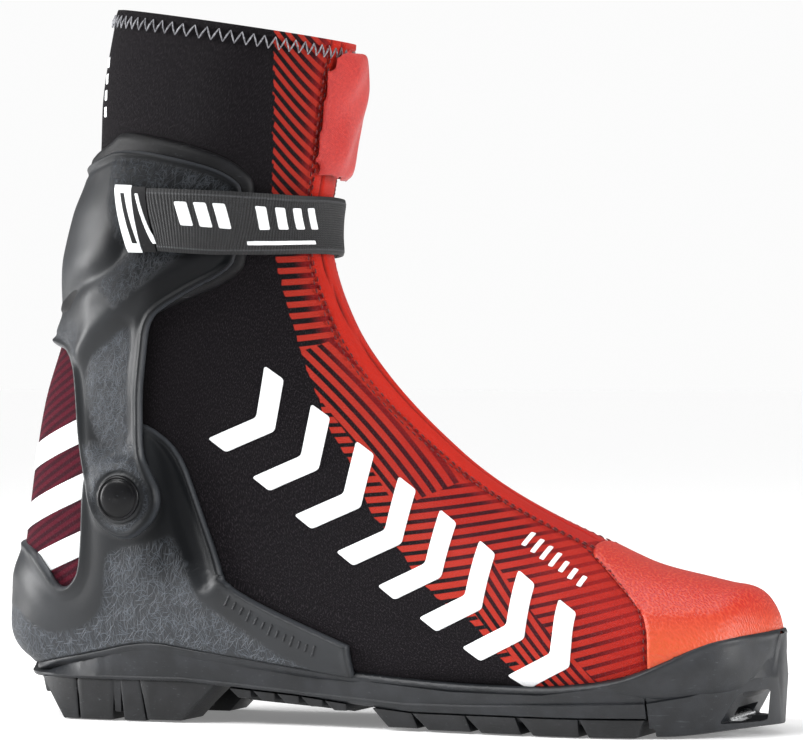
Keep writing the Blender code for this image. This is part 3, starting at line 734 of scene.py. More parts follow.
def upper_material():
    """Black softshell that turns into printed red stripes towards the zip."""
    s = Shader("softshell_upper", 0.62, Specular_IOR_Level=0.08)
    cloth, around, up = s.place("cloth")
    _, x, z = s.place("side")
    red, zipper, toe = s.attribute("red"), s.attribute("zipper"), s.attribute("toe")
    steep = s.stripes(s.line_at(x, z, -58), 2.75, 0.5)
    level = s.stripes(s.line_at(x, z, 20, -0.004), 3.95, 0.52)
    slant = s.stripes(s.line_at(x, z, -46, 0.0006), 3.4, 0.56)
    low = s.stripes(s.line_at(x, z, 4, -0.0011), 3.7, 0.6)
    above_strap = s.ease(z, 184.5, 185.5)
    under = s.line_at(x, z, 24)
    level_zone = s.ease(under, 134.8, 135.4)
    first = s.ease(s.line_at(x, z, -50), 60.0, 60.6)
    second = s.ease(s.line_at(x, z, 27), 64.0, 64.6)
    slant_zone = s.mul(first, second)
    wedge_line = s.line_at(x, z, -44)
    wedge = s.mul(s.ease(wedge_line, 63.5, 64), s.fade(wedge_line, 79.5, 80), s.ease(x, 47, 48))
    pattern = s.mix(low, slant, s.math("MAXIMUM", slant_zone, wedge))
    pattern = s.mix(pattern, level, level_zone)
    pattern = s.mix(pattern, steep, above_strap)
    fade = s.ease(s.noise(cloth, 0.05, 1), 0.3, 0.7)
    ragged = s.add(red, s.mul(s.add(s.noise(s.turned(cloth, 0, (0.02, 1, 1)), 0.26, 0), -0.5), 1.6))
    printed = s.mul(pattern, s.ease(ragged, -1.0, -0.6))
    ground = s.blend(s.ease(red, 2, 17), rgb("0f0d10"), rgb("3c0c14"))
    ground = s.blend(s.fade(zipper, 1, 9), ground, rgb("861819"))
    ground = s.blend(s.fade(toe, 2, 26), ground, rgb("8e1917"))
    stripe = s.blend(s.mul(s.ease(red, 4, 26), 0.75), rgb("b03024"), rgb("ab2019"))
    stripe = s.blend(s.mul(fade, 0.25), stripe, rgb("bf3a2a"))
    tone = s.blend(printed, ground, stripe)
    plain = s.blend(s.ease(x, 20, 75), rgb("bf2719"), rgb("b3221a"))
    in_tape = s.fade(zipper, -0.1, 0.3)
    tone = s.blend(in_tape, tone, plain)
    heel = s.mul(s.fade(x, -107, -106), s.fade(z, 144, 146))
    weave = s.stripes(s.line_at(x, z, 30), 3.0, 0.5, 0.9)
    tone = s.blend(heel, tone, s.blend(weave, rgb("38101c"), rgb("571424")))
    seam = s.attribute("groove")
    tone = s.blend(s.mul(s.ease(seam, 0.2, 1.0), 0.75), tone, rgb("2a0c0e"))
    speckle = s.ease(s.noise(cloth, 1.6, 3), 0.45, 0.8)
    tone = s.blend(s.mul(speckle, 0.14), tone, rgb("837880"))
    s.colour(tone)
    s.rough(s.add(0.72, s.mul(in_tape, -0.26), s.mul(s.ease(red, 4, 14), -0.14)))
    return s.bump(knit(s, cloth, around, up), 0.22).mat


def cloth_material(name, dark, light, roughness, size=0.6, depth=0.15, coords="cloth", grain=0.5, **inputs):
    """A knitted or woven cloth in two near tones."""
    s = Shader(name, roughness, **inputs)
    if coords == "solid":
        vector = s.solid()
        parts = s.node("SeparateXYZ")
        s.put(vector, parts.inputs[0])
        around, up = s.add(parts.outputs[0], parts.outputs[1]), parts.outputs[2]
    else:
        vector, around, up = s.place(coords)
    height = knit(s, vector, around, up, size)
    tone = s.blend(s.mul(s.ease(s.noise(vector, 1.1, 3), 0.3, 0.7), grain), rgb(dark), rgb(light))
    tone = s.blend(s.mul(s.ease(s.noise(vector, 0.06, 1), 0.35, 0.7), 0.35), tone, rgb(dark))
    s.colour(tone)
    s.rough(s.add(roughness - 0.06, s.mul(s.noise(vector, 0.9, 2), 0.12)))
    return s.bump(height, depth).mat


def toe_material():
    """Shiny, coarse-grained red shell, lighter low down."""
    s = Shader("toe_fabric", 0.36, Sheen_Weight=0.03, Specular_IOR_Level=0.4)
    cloth, _, _ = s.place("cloth")
    _, _, z = s.place("side")
    grain = s.add(s.mul(s.cells(cloth, 0.85), 0.7), s.mul(s.noise(cloth, 1.1, 3), 0.6))
    low = s.fade(z, 30, 50)
    tone = s.blend(low, rgb("b01a12"), rgb("c9522e"))
    tone = s.blend(s.mul(s.ease(grain, 0.45, 0.8), 0.6), tone, rgb("cf4a2c"))
    tone = s.blend(s.mul(s.ease(s.noise(cloth, 0.5, 2), 0.5, 0.8), 0.18), tone, rgb("8e120d"))
    s.colour(tone)
    s.rough(s.add(0.30, s.mul(grain, 0.16)))
    return s.bump(grain, 0.22).mat


def injected_material():
    """Moulded plastic with short fibres lying every way in it, and smooth borders, with painted shade on the cuff's
    upper front and the counter's flange, and a painted highlight along its edges.
    """
    s = Shader("fibre_filled_plastic", 0.46)
    cloth, _, _ = s.place("cloth")
    _, x, z = s.place("side")
    mask = s.attribute("grain")
    fibres = None
    warped = s.add_vectors(cloth, s.mul(s.noise(cloth, 0.12, 1), 0.2))
    for k, degrees in enumerate((5, 27, 49, 71, 93, 116, 137, 160)):
        vector = s.add_vectors(s.turned(warped, degrees, (0.06, 1.3, 1.0)), (3.7 * k, 5.3 * k, 0))
        streak = s.flip(s.ease(s.cells(vector, 1.0), 0.06, 0.20))
        fibres = streak if fibres is None else s.math("MAXIMUM", fibres, streak)
    textured = s.mul(fibres, mask)
    shade = s.noise(cloth, 0.035, 2)
    tone = s.blend(s.ease(shade, 0.3, 0.7), rgb("16181b"), rgb("1d2024"))
    tone = s.blend(s.mul(mask, 0.7), tone, rgb("292c31"))
    # Painted shade: the base colour is darkened over the upper front of the cuff and over the sunk flange of the
    # counter, where shade falls, and the fibres are dimmed there; the same mask lowers the specular level.
    upper_front_shade = s.mul(s.ease(z, 132, 170), s.ease(x, -112, -88))
    flange = s.mul(s.ease(x, -92, -74), s.ease(z, 44, 62))
    dark = s.math("MAXIMUM", upper_front_shade, flange)
    tone = s.blend(s.mul(dark, 0.85), tone, rgb("0a0b0d"))
    tone = s.blend(s.mul(textured, s.add(0.6, s.mul(dark, -0.35))), tone, rgb("6b727b"))
    # Painted highlight: the colour is lightened towards a pale grey along the rounded edges, and the specular level is
    # raised there.
    painted_edge_highlight = s.flip(s.ease(s.attribute("edge"), 0.2, 1.3))
    s.put(s.add(0.45, s.mul(dark, -0.33), s.mul(painted_edge_highlight, 0.45)), s.shader.inputs["Specular IOR Level"])
    tone = s.blend(s.mul(painted_edge_highlight, 0.4), tone, rgb("4a4e54"))
    s.colour(tone)
    s.rough(s.add(0.42, s.mul(mask, 0.08), s.mul(s.noise(cloth, 0.4, 3), 0.08)))
    return s.bump(s.add(s.mul(textured, 0.9), s.mul(s.noise(cloth, 2.5, 2), 0.12)), 0.36).mat


def moulded_material(name, dark, light, roughness, depth=0.05, scale=1.0, shine=0.38):
    """Moulded rubber or plastic: fine mottle, scuffs and a soft sheen."""
    s = Shader(name, roughness, Specular_IOR_Level=shine)
    vector = s.solid()
    mottle = s.noise(vector, 0.12 * scale, 3)
    fine = s.noise(vector, 2.6 * scale, 3)
    tone = s.blend(s.ease(mottle, 0.35, 0.7), rgb(dark), rgb(light))
    scuffs = s.ease(s.noise(s.turned(vector, 25, (0.12, 1.4, 1.4)), 0.9, 3), 0.62, 0.8)
    tone = s.blend(s.mul(scuffs, 0.16), tone, rgb("8c9096"))
    s.colour(tone)
    s.rough(s.add(roughness - 0.05, s.mul(fine, 0.12), s.mul(scuffs, 0.08)))
    return s.bump(fine, depth).mat


def webbing_material():
    """Ribbed black webbing with a plain selvedge."""
    s = Shader("strap_webbing", 0.55, Specular_IOR_Level=0.35)
    vector, along, across = s.place("cloth")
    rib = s.math("SINE", s.mul(along, 2 * math.pi / 1.15))
    weft = s.math("SINE", s.mul(s.add(across, s.mul(s.math("SIGN", rib), 0.3)), 2 * math.pi / 0.9))
    middle = s.ease(s.attribute("edge"), 1.2, 1.8)
    height = s.mul(s.add(s.mul(rib, 0.5), s.mul(weft, 0.35)), s.add(0.35, s.mul(middle, 0.65)))
    tone = s.blend(s.ease(height, -0.6, 0.8), rgb("0a0a0b"), rgb("242527"))
    tone = s.blend(s.mul(s.ease(s.noise(vector, 0.5, 3), 0.45, 0.8), 0.25), tone, rgb("38393c"))
    piping = s.mul(s.ease(s.attribute("edge"), 1.3, 1.5), s.flip(s.ease(s.attribute("edge"), 1.9, 2.1)))
    tone = s.blend(s.mul(piping, 0.5), tone, rgb("4a4b4e"))
    s.colour(tone)
    return s.bump(height, 0.22).mat


def printed_material():
    """Raised white print with a fine sparkle of grain."""
    s = Shader("white_print", 0.42)
    vector = s.solid()
    grain = s.noise(vector, 2.4, 3)
    s.colour(s.blend(s.mul(s.ease(grain, 0.3, 0.75), 0.35), rgb("f4f6f7"), rgb("c3c8cc")))
    return s.bump(grain, 0.08).mat


def steel_material():
    """Bright steel, brushed along the boot."""
    s = Shader("bright_steel", 0.26, Metallic=1.0)
    vector = s.solid()
    brushed = s.noise(s.turned(vector, 0, (2.5, 0.25, 2.5)), 1.6, 4)
    s.colour(s.blend(s.ease(brushed, 0.3, 0.8), rgb("b9bdc0"), rgb("ffffff")))
    s.rough(s.add(0.18, s.mul(brushed, 0.2)))
    return s.bump(brushed, 0.01).mat


MATS = {
    "upper": upper_material(),
    "lining": cloth_material("lining_knit", "141416", "2a2a2e", 0.85, 1.1, 0.3),
    "footbed": cloth_material("footbed_cloth", "18181b", "2c2c31", 0.9, 1.4, 0.25, "solid"),
    "toe": toe_material(),
    "injected": injected_material(),
    "rim": moulded_material("soft_rim", "0a0a0c", "121215", 0.55, 0.08, shine=0.22),
    "sole": moulded_material("sole_rubber", "1b1d20", "25272b", 0.42, 0.06),
    "lug": moulded_material("tread_rubber", "141517", "1e1f22", 0.44, 0.08),
    "webbing": webbing_material(),
    "flap": cloth_material("flap_knit", "ad1714", "cb3326", 0.40, 0.75, 0.2, "solid", 0.8, Sheen_Weight=0.1),
    "gloss": moulded_material("gloss_cap", "08080a", "0d0d10", 0.30, 0.02, shine=0.22),
    "steel": steel_material(),
    "print": printed_material(),
    "tick": moulded_material("sunk_mark", "1d1f22", "26282c", 0.5, 0.02),
    "hooks": moulded_material("hook_tape", "0e0e10", "1b1b1e", 0.8, 0.6, 1.6),
    "black_thread": cloth_material("dark_thread", "5a5a60", "a9a9ae", 0.5, 0.5, 0.1, "solid", 0.9),
    "red_thread": cloth_material("red_thread", "4e0b0f", "8a1a18", 0.5, 0.5, 0.1, "solid", 0.8),
    "seam_thread": cloth_material("seam_thread", "4a1013", "7c1c1c", 0.55, 0.5, 0.1, "solid", 0.8),
}


# ---------------------------------------------------------------- upper and lining

ZIP_EDGE = ((6.07, 16.5), (8, 16), (10, 15.5), (12, 15.5), (14, 15.8), (16, 16), (18, 16.2), (20, 16.5), (22.6, 17))
CLOSURE = ((6.5, 2.0), (8, 1.5), (10, 2.0), (12, 3.0), (14, 5.0), (15.5, 7.2), (18, 7.6), (22.9, 7.6))
TOE_SEAM_LINE = rounded(TOE_SEAM, 2, closed=False)
RED_LINE = rounded(RED_EDGE, 2, closed=False)
RED_AREA = np.vstack([RED_LINE, [(300, 0), (300, 270)]])


def zip_angles(values):
    """Degrees from the zip's outer seam and from its closure, positive towards the outer side."""
    degrees = np.degrees(values["a"])
    edge = np.interp(values["u"], *np.array(ZIP_EDGE, float).T)
    closure = np.interp(values["u"], *np.array(CLOSURE, float).T)
    return degrees, edge, closure


def seam_distance(values, degrees, line):
    """Millimetres round the boot from a line at these degrees."""
    return arc(values["u"], degrees) - arc(values["u"], line)


def toe_sag(x, z, values):
    """The top of the toe lies a little under the lofted skin."""
    return -1.3 * ease(x, 78, 100) * ease(x, 142, 128) * ease(z, 42, 50) - 1.5 * ease(x, 132, 146)


def upper_relief(x, z, values):
    degrees, edge, closure = zip_angles(values)
    to_edge = seam_distance(values, np.abs(degrees), edge)
    to_closure = seam_distance(values, degrees, closure)
    live = ease(values["u"], 6.0, 6.5)
    tape = 0.9 * ease(to_edge, 0.8, -0.8) * live
    groove = -1.3 * hill(to_closure, 0.75) * live - 0.35 * hill(to_edge, 0.5) * live
    toe = to_line(x, z, TOE_SEAM_LINE)
    toe_seam = -0.5 * hill(toe, 0.7) * ease(values["u"], 7.5, 6.8)
    ripple = np.sin((x * 0.55 + z * 0.9) / 2.1) * hill(x - 86, 16) * hill(z - 34, 14) * 0.38
    slack = 0.35 * np.sin(x / 13 + 1.0) * np.sin(z / 17 + 0.5) * ease(np.abs(degrees), 25, 60)
    folds = 0.5 * np.sin((z * 0.8 + x * 0.5) / 4.6) * hill(x + 12, 22) * hill(z - 116, 14)
    folds = folds * ease(np.abs(degrees), 24, 50)
    hem = 0.45 * ease(values["u"], 22.28, 22.36)
    return tape + groove + toe_seam + ripple + slack + folds + hem + toe_sag(x, z, values)


def closed_layer(name, layer, first, rows, columns, mats, relief=None, attributes=None):
    """A layer all round the boot, closed at the toe and open at the collar."""
    values, faces = grid(first, COLLAR, rows, columns)
    base = skin(values["u"], values["a"], layer[1])
    extra = relief(base[:, 0], base[:, 2], values) if relief else 0.0
    top = ease(values["u"], COLLAR, COLLAR - 0.10)
    middle = (layer[0] + layer[1]) / 2
    outer = skin(values["u"], values["a"], middle + (layer[1] + extra - middle) * np.sqrt(np.maximum(top, 0.02)))
    inner = skin(values["u"], values["a"], middle + (layer[0] - middle) * np.sqrt(np.maximum(top, 0.02)))
    count = len(outer)
    index = np.arange(count).reshape(rows, columns)
    points = np.vstack([outer, inner])
    double = {k: np.concatenate([v, v]) for k, v in values.items()}
    rim = []
    for k in range(columns - 1):
        a, b = index[-1, k], index[-1, k + 1]
        rim += [(a, count + a, count + b), (a, count + b, b)]
    caps = [tuple(index[0, :-1]), tuple(count + index[0, :-1][::-1])]
    everything = [tuple(f) for f in np.vstack([faces, faces[:, ::-1] + count, np.array(rim)])] + caps
    extras = {k: f(points[:, 0], points[:, 2], double) for k, f in (attributes or {}).items()}
    is_inner = [0] * len(faces) + [1] * len(faces) + [0] * len(rim) + [0, 1]
    return new_object(name, points, everything, mats, uv_maps(double, points), extras, is_inner)


def zipper_field(x, z, values):
    degrees, edge, _ = zip_angles(values)
    return seam_distance(values, np.abs(degrees), edge) + 30 * ease(values["u"], 6.3, 6.0)


def groove_field(x, z, values):
    degrees, edge, closure = zip_angles(values)
    live = ease(values["u"], 6.0, 6.5)
    closing = hill(seam_distance(values, degrees, closure), 0.9) * live
    return np.maximum(closing, 0.8 * hill(seam_distance(values, np.abs(degrees), edge), 0.7) * live)


def make_upper():
    fields = {
        "red": within(RED_AREA),
        "zipper": zipper_field,
        "toe": lambda x, z, v: to_line(x, z, TOE_SEAM_LINE),
        "groove": groove_field,
    }
    upper = closed_layer("upper", (-1.8, 0.0), 0.1, 300, 221, (MATS["upper"], MATS["lining"]), upper_relief, fields)
    put(upper, (FOOT, CUFF), "softshell", "softshell_foot", "softshell_collar", "ankle_flex_zone",
        "zip_foot", "zip_instep", "zip_leg")

    def quilt(x, z, values):
        return 0.25 * np.sin(values["up"] / 2.6) * np.sin(values["round"] / 3.0) - 0.2

    lining = closed_layer("lining", (-4.7, -2.0), 0.9, 200, 141, (MATS["lining"], MATS["lining"]), quilt)
    put(lining, (FOOT, CUFF), "liner", "liner_foot", "liner_collar")


def make_hem_stitches():
    """Zigzag stitching round the collar."""
    turns = 66
    angles = np.linspace(-math.pi, math.pi, 4 * turns + 1)
    edge = skin_point(np.full(len(angles), COLLAR), angles)[:, 2]
    drop = np.tile((6.8, 4.6, 2.4, 4.6), turns + 1)[: len(angles)]
    stations = station_at(edge - drop, angles)
    line = skin(stations, angles, 0.95 + 0.12 * np.tile((-1, 1), 4 * turns)[: len(angles)])
    zig = [line[k:k + 3] for k in range(0, len(angles) - 2, 2)]
    points, faces = tubes(zig, 0.36)
    put(new_object("collar_zigzag", points, faces, MATS["black_thread"], weld=0), CUFF, "softshell")


def make_seam_stitches():
    """Two rows of stitches on each side of the zip, and one behind the toe cover."""
    stations, degrees = np.array(ZIP_EDGE, float).T
    spread = 1 + 0.5 * ease(stations, 10, 7)
    lines = [(stations, side * np.radians(degrees) + side * np.radians(shift) / spread)
             for side, _ in SIDES for shift in (0.1, 2.8)]
    put(stitches("zip_stitches", lines, 0.78, MATS["red_thread"], radius=0.34), (FOOT, CUFF), "red_shell")
    lines = [side_line([(x - 1.4, z - 0.4) for x, z in TOE_SEAM[1:-1]], side) for side, _ in SIDES]
    put(stitches("toe_stitches", lines, 0.1, MATS["seam_thread"]), FOOT, "red_shell")


# ---------------------------------------------------------------- prints


def turned_shape(x, z, degrees, shape):
    """Corners of a shape about x, z, given along and across a line at this slope."""
    w = math.radians(degrees)
    along, across = np.array([math.cos(w), math.sin(w)]), np.array([-math.sin(w), math.cos(w)])
    return np.array([np.array([x, z]) + along * a + across * b for a, b in shape])


def bar(x, z, length, width, degrees):
    a, b = length / 2, width / 2
    return turned_shape(x, z, degrees, ((-a, -b), (a, -b), (a, b), (-a, b)))


def chevron(x, z, height, width, depth, degrees):
    """Corners of a chevron that points along this slope."""
    a, b = width / 2, height / 2
    return turned_shape(x, z, degrees, ((-a, -b), (a, -b), (a + depth, 0), (a, b), (-a, b), (-a + depth, 0)))


def many(outlines, reach=60):
    """A field for several separate outlines, each worked out only near its middle."""

    def field(x, z, values):
        best = np.full(x.shape, -1e9)
        for outline in outlines:
            near = (np.abs(x - outline[:, 0].mean()) < reach) & (np.abs(z - outline[:, 1].mean()) < reach)
            distance = np.full(x.shape, -1e9)
            distance[near] = inside(x[near], z[near], outline)
            best = np.maximum(best, distance)
        return best

    return field


def on_side(field, side):
    """The field on one side of the boot only."""
    return lambda x, z, v: np.where(np.sign(v["a"]) == side, field(x, z, v), -5.0)


def raised_print(name, body, area, field, top, radius, steps):
    """A white print that stands up to top above the upper."""
    mark = shell(name, area, field, (0.06, top), radius, MATS["print"], steps=steps, follow=upper_relief)
    put(mark, body, "tab")


def make_prints():
    """Chevrons down the side, small bars near the toe, bands round the heel and bars by the collar."""
    chevrons = []
    for t in np.linspace(0, 1, 8):
        x, z = -46 + 119 * t, 114.5 - 82 * t - 5.0 * math.sin(math.pi * t)
        chevrons.append(softened(chevron(x, z, 33, 8.6, 9.5, -36 + 3 * t), 1.2))
    small = [softened(bar(61 + 3.9 * k, 68.5 - 2.3 * k, 4.6 if k < 4 else 3.6, 1.9, 72), 0.4) for k in range(7)]
    heel = [np.array([(-152, z), (-152, z + 9.5), (-104, z + 29.5), (-104, z + 20)]) for z in (42, 63, 84)]
    collar = [bar(-105.5, 243 - 6.2 * k, 2.0, 4.0, 5) for k in range(4)]
    coarse, fine = (0.0, 1.0), (0.0, 0.5, 1.0)
    raised_print("side_graphic", (FOOT, CUFF), (3.6, 16.5, 560, 300, 0.05, 0.95), on_side(many(chevrons), 1),
                 0.34, 0.3, fine)
    raised_print("side_small_marks", FOOT, (5.0, 9.5, 300, 160, 0.05, 0.5), on_side(many(small), 1), 0.28, 0.25, coarse)
    raised_print("heel_graphic", FOOT, (11.5, 17.5, 360, 420, -1.0, 1.0), many(heel), 0.32, 0.3, fine)
    raised_print("collar_marks", CUFF, (20.0, 22.6, 120, 200, 0.5, 1.0), on_side(many(collar), 1), 0.28, 0.25, coarse)


# ---------------------------------------------------------------- toe cover, counter, cuff


def make_toe_cover():
    edge = np.vstack([TOE_SEAM_LINE, [(200, 10), (200, 90)]])
    above_sole = np.array([(x, z - 3) for x, z in SOLE_TOP if x > 100] + [(200, 90), (60, 90), (60, 0)], float)

    def field(x, z, values):
        return np.minimum(inside(x, z, edge), inside(x, z, above_sole))

    def relief(x, z, values):
        return 0.25 * np.sin(x / 7.0) * np.sin(z / 6.0) * ease(values["edge"], 2, 8)

    cover = shell("toe_cover", (0.0, 8.0, 190, 200), field, (0.1, 1.2), 1.2, MATS["toe"], relief, follow=toe_sag)
    put(cover, FOOT, "toe_shell", "toe_panel")


def pivot_distance(x, z):
    return np.hypot(x - PIVOT_X, z - PIVOT_Z)


COUNTER_OUTLINE = np.vstack([
    rounded(SOLE_TOP[:7], 2, closed=False) - (0, 1.2),
    rounded(COUNTER_EDGE, 2, closed=False),
])
CUFF_OUTLINE = rounded(CUFF_EDGE, 3)
RIM_OUTLINE = rounded(RIM_EDGE, 3)
POCKET_OUTLINE = rounded(POCKET, 3)
GRAIN_OUTLINE = rounded(COUNTER_GRAIN, 2)
FLANGE_OUTLINE = rounded(FLANGE, 3)
LIP_LINE = rounded(CUFF_LIP, 2, closed=False)
CREASE_LINE = rounded(CUFF_CREASE, 2, closed=False)
NOTCH_LINE = rounded(HEEL_NOTCH, 2, closed=False)


def heel_fill(x, z, values):
    """At its back, the heel is a little fuller low down than the lofted skin and flatter higher up."""
    return 0.7 * ease(x, -118, -136) * ease(z, 44, 27) - 2.2 * ease(x, -126, -138) * ease(z, 50, 64)


def counter_relief(x, z, values):
    """The sunk flange with its ledge, the beaded edge, the pivot's boss and the notch behind it."""
    flange = inside(x, z, FLANGE_OUTLINE)
    sunk = -1.5 * ease(flange, -1.0, 3.2)
    ledge = 0.6 * hill(flange + 2.5, 2.6) * ease(x, -76, -68)
    bead = 0.5 * hill(values["edge"] - 1.6, 1.0)
    field = -0.25 * ease(inside(x, z, GRAIN_OUTLINE), 0, 2.0)
    boss = 1.0 * ease(pivot_distance(x, z), 16, 12)
    notch = 0.7 * hill(to_line(x, z, NOTCH_LINE) - 5, 5)
    return sunk + ledge + bead + field + boss + notch


def counter_grain(x, z, values):
    return ease(inside(x, z, GRAIN_OUTLINE), 0.0, 2.5) * ease(values["edge"], 0.8, 2.2)


MOST_SUNK = -2.3  # the cuff's face stays clear of its inner face


def cuff_relief(x, z, values):
    """The sunk pocket, the lip and the crease above it, the beaded edge, and the pivot's boss in its ring."""
    pocket = inside(x, z, POCKET_OUTLINE)
    left = ease(-x, 84, 100)
    sunk = MOST_SUNK * ease(pocket, -2.5 - 2.0 * left, 3.0)
    lip = 1.3 * hill(to_line(x, z, LIP_LINE), 4.2)
    crease_distance = to_line(x, z, CREASE_LINE)
    crease = -1.3 * hill(crease_distance, 3.4) + 0.9 * hill(crease_distance - 8, 6.5)
    bead = 0.55 * hill(values["edge"] - 1.3, 1.0) - 0.45 * hill(values["edge"] - 3.6, 1.0)
    r = pivot_distance(x, z)
    boss = 1.95 * ease(r, 17, 10.5)
    ring = -0.7 * hill(r - 9.3, 0.55)
    rear = -0.8 * ease(x, -102, -120) * hill(z - 166, 20)
    crease *= 1 - 0.7 * ease(x, -112, -126)
    relief = sunk * ease(r, 11, 15) + lip * ease(r, 16, 22) + crease + bead + boss + ring + rear
    return np.maximum(relief, MOST_SUNK)


def cuff_follow(x, z, values):
    """The cuff hugs the leg at the bottom and the top of its back."""
    return -2.9 * ease(x, -102, -117) * ease(z, 172, 148) - 2.0 * ease(x, -88, -104) * ease(z, 186, 204)


def cuff_grain(x, z, values):
    left = inside(x, z, np.array(CUFF_GRAIN))
    pocket = inside(x, z, POCKET_OUTLINE)
    below = ease(z, 104, 98)
    field = np.maximum(np.maximum(ease(left, -2, 3), ease(pocket, 1.5, 4.0)), below)
    strip = 0.55 * ease(x, -108, -112) * ease(z, 150, 140)
    return np.maximum(field, strip) * ease(values["edge"], 2.2, 4.0) * ease(pivot_distance(x, z), 9.8, 11)


def make_counter():
    counter = shell("counter_shell", (8.2, 18.5, 300, 360), within(COUNTER_OUTLINE), (0.6, 2.8), 1.4,
                    MATS["injected"], counter_relief, {"grain": counter_grain}, follow=heel_fill)
    put(counter, FOOT, "plastic", "heel_counter")
    marks = []
    for k, t in enumerate(np.linspace(0, 1, 13)):
        x, z = -48.5 + 34 * t, 45.2 - 17.5 * t - 1.5 * math.sin(math.pi * t)
        marks.append(bar(x, z, 1.0, 3.2 if k % 3 else 4.6, -27 + 6 * t))
    ticks = shell("counter_marks", (8.6, 11.6, 300, 300, 0.3, 0.98), on_side(many(marks), 1), (2.5, 3.15), 0.25,
                  MATS["tick"], steps=(0.0, 1.0))
    put(ticks, FOOT, "plastic")


def make_cuff():
    cuff = shell("cuff_shell", (11.5, 21.5, 330, 380), within(CUFF_OUTLINE), (3.2, 6.1), 1.7,
                 MATS["injected"], cuff_relief, {"grain": cuff_grain}, follow=cuff_follow)
    put(cuff, CUFF, "plastic", "cuff")
    rim = shell("cuff_rim", (14.0, 21.8, 170, 260), within(RIM_OUTLINE), (0.3, 3.0), 2.6,
                MATS["rim"], lambda x, z, v: 0.25 * hill(v["edge"] - 3, 2))
    put(rim, CUFF, "rim", "cuff_lining")


def make_pivots():
    """A domed cap on each pivot, with a raised ring and a stem through the cuff."""
    for side, word in SIDES:
        seat = CAP_SEAT[side]
        dome = [(8.3 * math.cos(w), seat + 0.7 + 1.8 * math.sin(w)) for w in np.linspace(0, 1.45, 9)]
        profile = [(0, seat - 6.6), (4.0, seat - 6.6), (4.0, seat), (8.1, seat), (8.3, seat + 0.25)] + dome[:1]
        profile += [(8.0, seat + 1.3), (7.5, seat + 1.45), (7.1, seat + 1.1), (6.8, seat + 1.15)]
        profile += [(6.6 * math.cos(w), seat + 1.35 + 0.95 * math.sin(w)) for w in np.linspace(0.1, 1.45, 7)]
        cap = lathe(f"pivot_cap_{word}", profile + [(0, seat + 2.5)], PIVOT_X, PIVOT_Z, -side, MATS["gloss"])
        put(cap, FOOT, "gloss", f"pivot_rivet_{word}")


# ---------------------------------------------------------------- sole


PLAN_TABLE = spline(np.array(PLAN, float), np.linspace(0, len(PLAN) - 1, 400))
PLAN_TABLE[:, 1] = np.maximum(PLAN_TABLE[:, 1], 0)


def half_width(x, side, shrink=0.0):
    """The sole's half width at x on the outer (1) or inner (-1) side."""
    width = np.interp(x, PLAN_TABLE[:, 0], PLAN_TABLE[:, 1])
    return np.maximum(width - shrink, 0.0) * (1.0 if side > 0 else INNER_SIDE_NARROWER)


def height_on(line, x):
    """Height of a side outline at x."""
    return float(np.interp(x, *np.array(line, float).T))


def sole_ring(low_x, top_x, low, ledge, high, widths, undercut=3.4):
    """One cross-section of the sole: its underside, a ledge at the plan's width, and a top inside the tray."""
    ring = []
    for sign, (outer, top) in zip((-1, 1), widths):
        k = min(1.0, outer / 8)
        middle = (outer + top) / 2
        side = [
            (outer - undercut * k, low, 0), (outer - (undercut - 1.4) * k, low + 0.4, 0.05),
            (outer - 0.7 * k, ledge - 1.0, 0.3), (outer - 0.2 * k, ledge - 0.2, 0.4),
            (outer - 0.7 * k, ledge + 0.4, 0.5), (middle - 0.3 * k, (ledge + high) / 2, 0.75), (top, high, 1),
        ]
        ring.append([(low_x + (top_x - low_x) * t, sign * max(y, 0.05), z) for y, z, t in side])
    return ring[0] + ring[1][::-1]


def sole_rings(low_xs, top_xs, low, ledge, under, undercut=3.4):
    """Cross-sections through the sole at these x of its underside and of its top."""
    rings = []
    for low_x, top_x in zip(low_xs, top_xs):
        high = height_on(SOLE_TOP, top_x) - under
        widths = []
        for side in (1, -1):
            outer = float(half_width(low_x - 4.5 * float(ease(low_x, -95, -136)), side))
            widths.append((outer, min(side_width(top_x, max(high, 19.5), side, 3.0), outer + 4.5)))
        floor_z = low(low_x)
        ledge_z, high = max(ledge(low_x), floor_z + 1.6), max(high, floor_z + 3)
        rings.append(sole_ring(low_x, top_x, floor_z, ledge_z, high, widths, undercut))
    return rings


CORE_LEDGE = ((-141, 15.6), (-60, 15.2), (-20, 12.2), (20, 9.6), (45, 9.8), (110, 12.4))
TOE_LEDGE = ((110, 12.4), (124, 14.8), (137, 19.0), (143, 20.5), (150, 20.5))


def make_core():
    t = np.linspace(0, 1, 130)
    spread = t + 0.9 * (np.sin(math.pi * t) * -0.28 * (1 - t))
    low_xs = -137.0 + 246.6 * spread
    top_xs = -141.0 + 250.6 * spread
    rings = sole_rings(low_xs, top_xs, lambda x: low_line(x) + 0.2, lambda x: height_on(CORE_LEDGE, x), 1.0)
    core = lofted("sole_core", rings, MATS["sole"])
    core.data.set_sharp_from_angle(angle=math.radians(30))
    put(core, FOOT, "sole")


def make_tray():
    """The tray round the foot, that shows above the sole's core at the heel and the toe."""
    top = rounded(SOLE_TOP, 2, closed=False)
    outline = np.vstack([top, [(190, 38), (190, -20), (-190, -20), (-190, 19)]])

    def relief(x, z, values):
        line = 0.35 * hill(values["edge"] - 1.6, 1.0)
        return line - 1.2 * ease(x, 112, 130) - 1.2 * ease(x, 134, 148) + 2.0 * ease(x, -118, -134)

    tray = shell("sole_tray", (0.0, 16.5, 330, 330), within(outline), (0.3, 2.9), 1.0, MATS["sole"], relief,
                 follow=heel_fill)
    put(tray, FOOT, "sole", "sole_carrier")


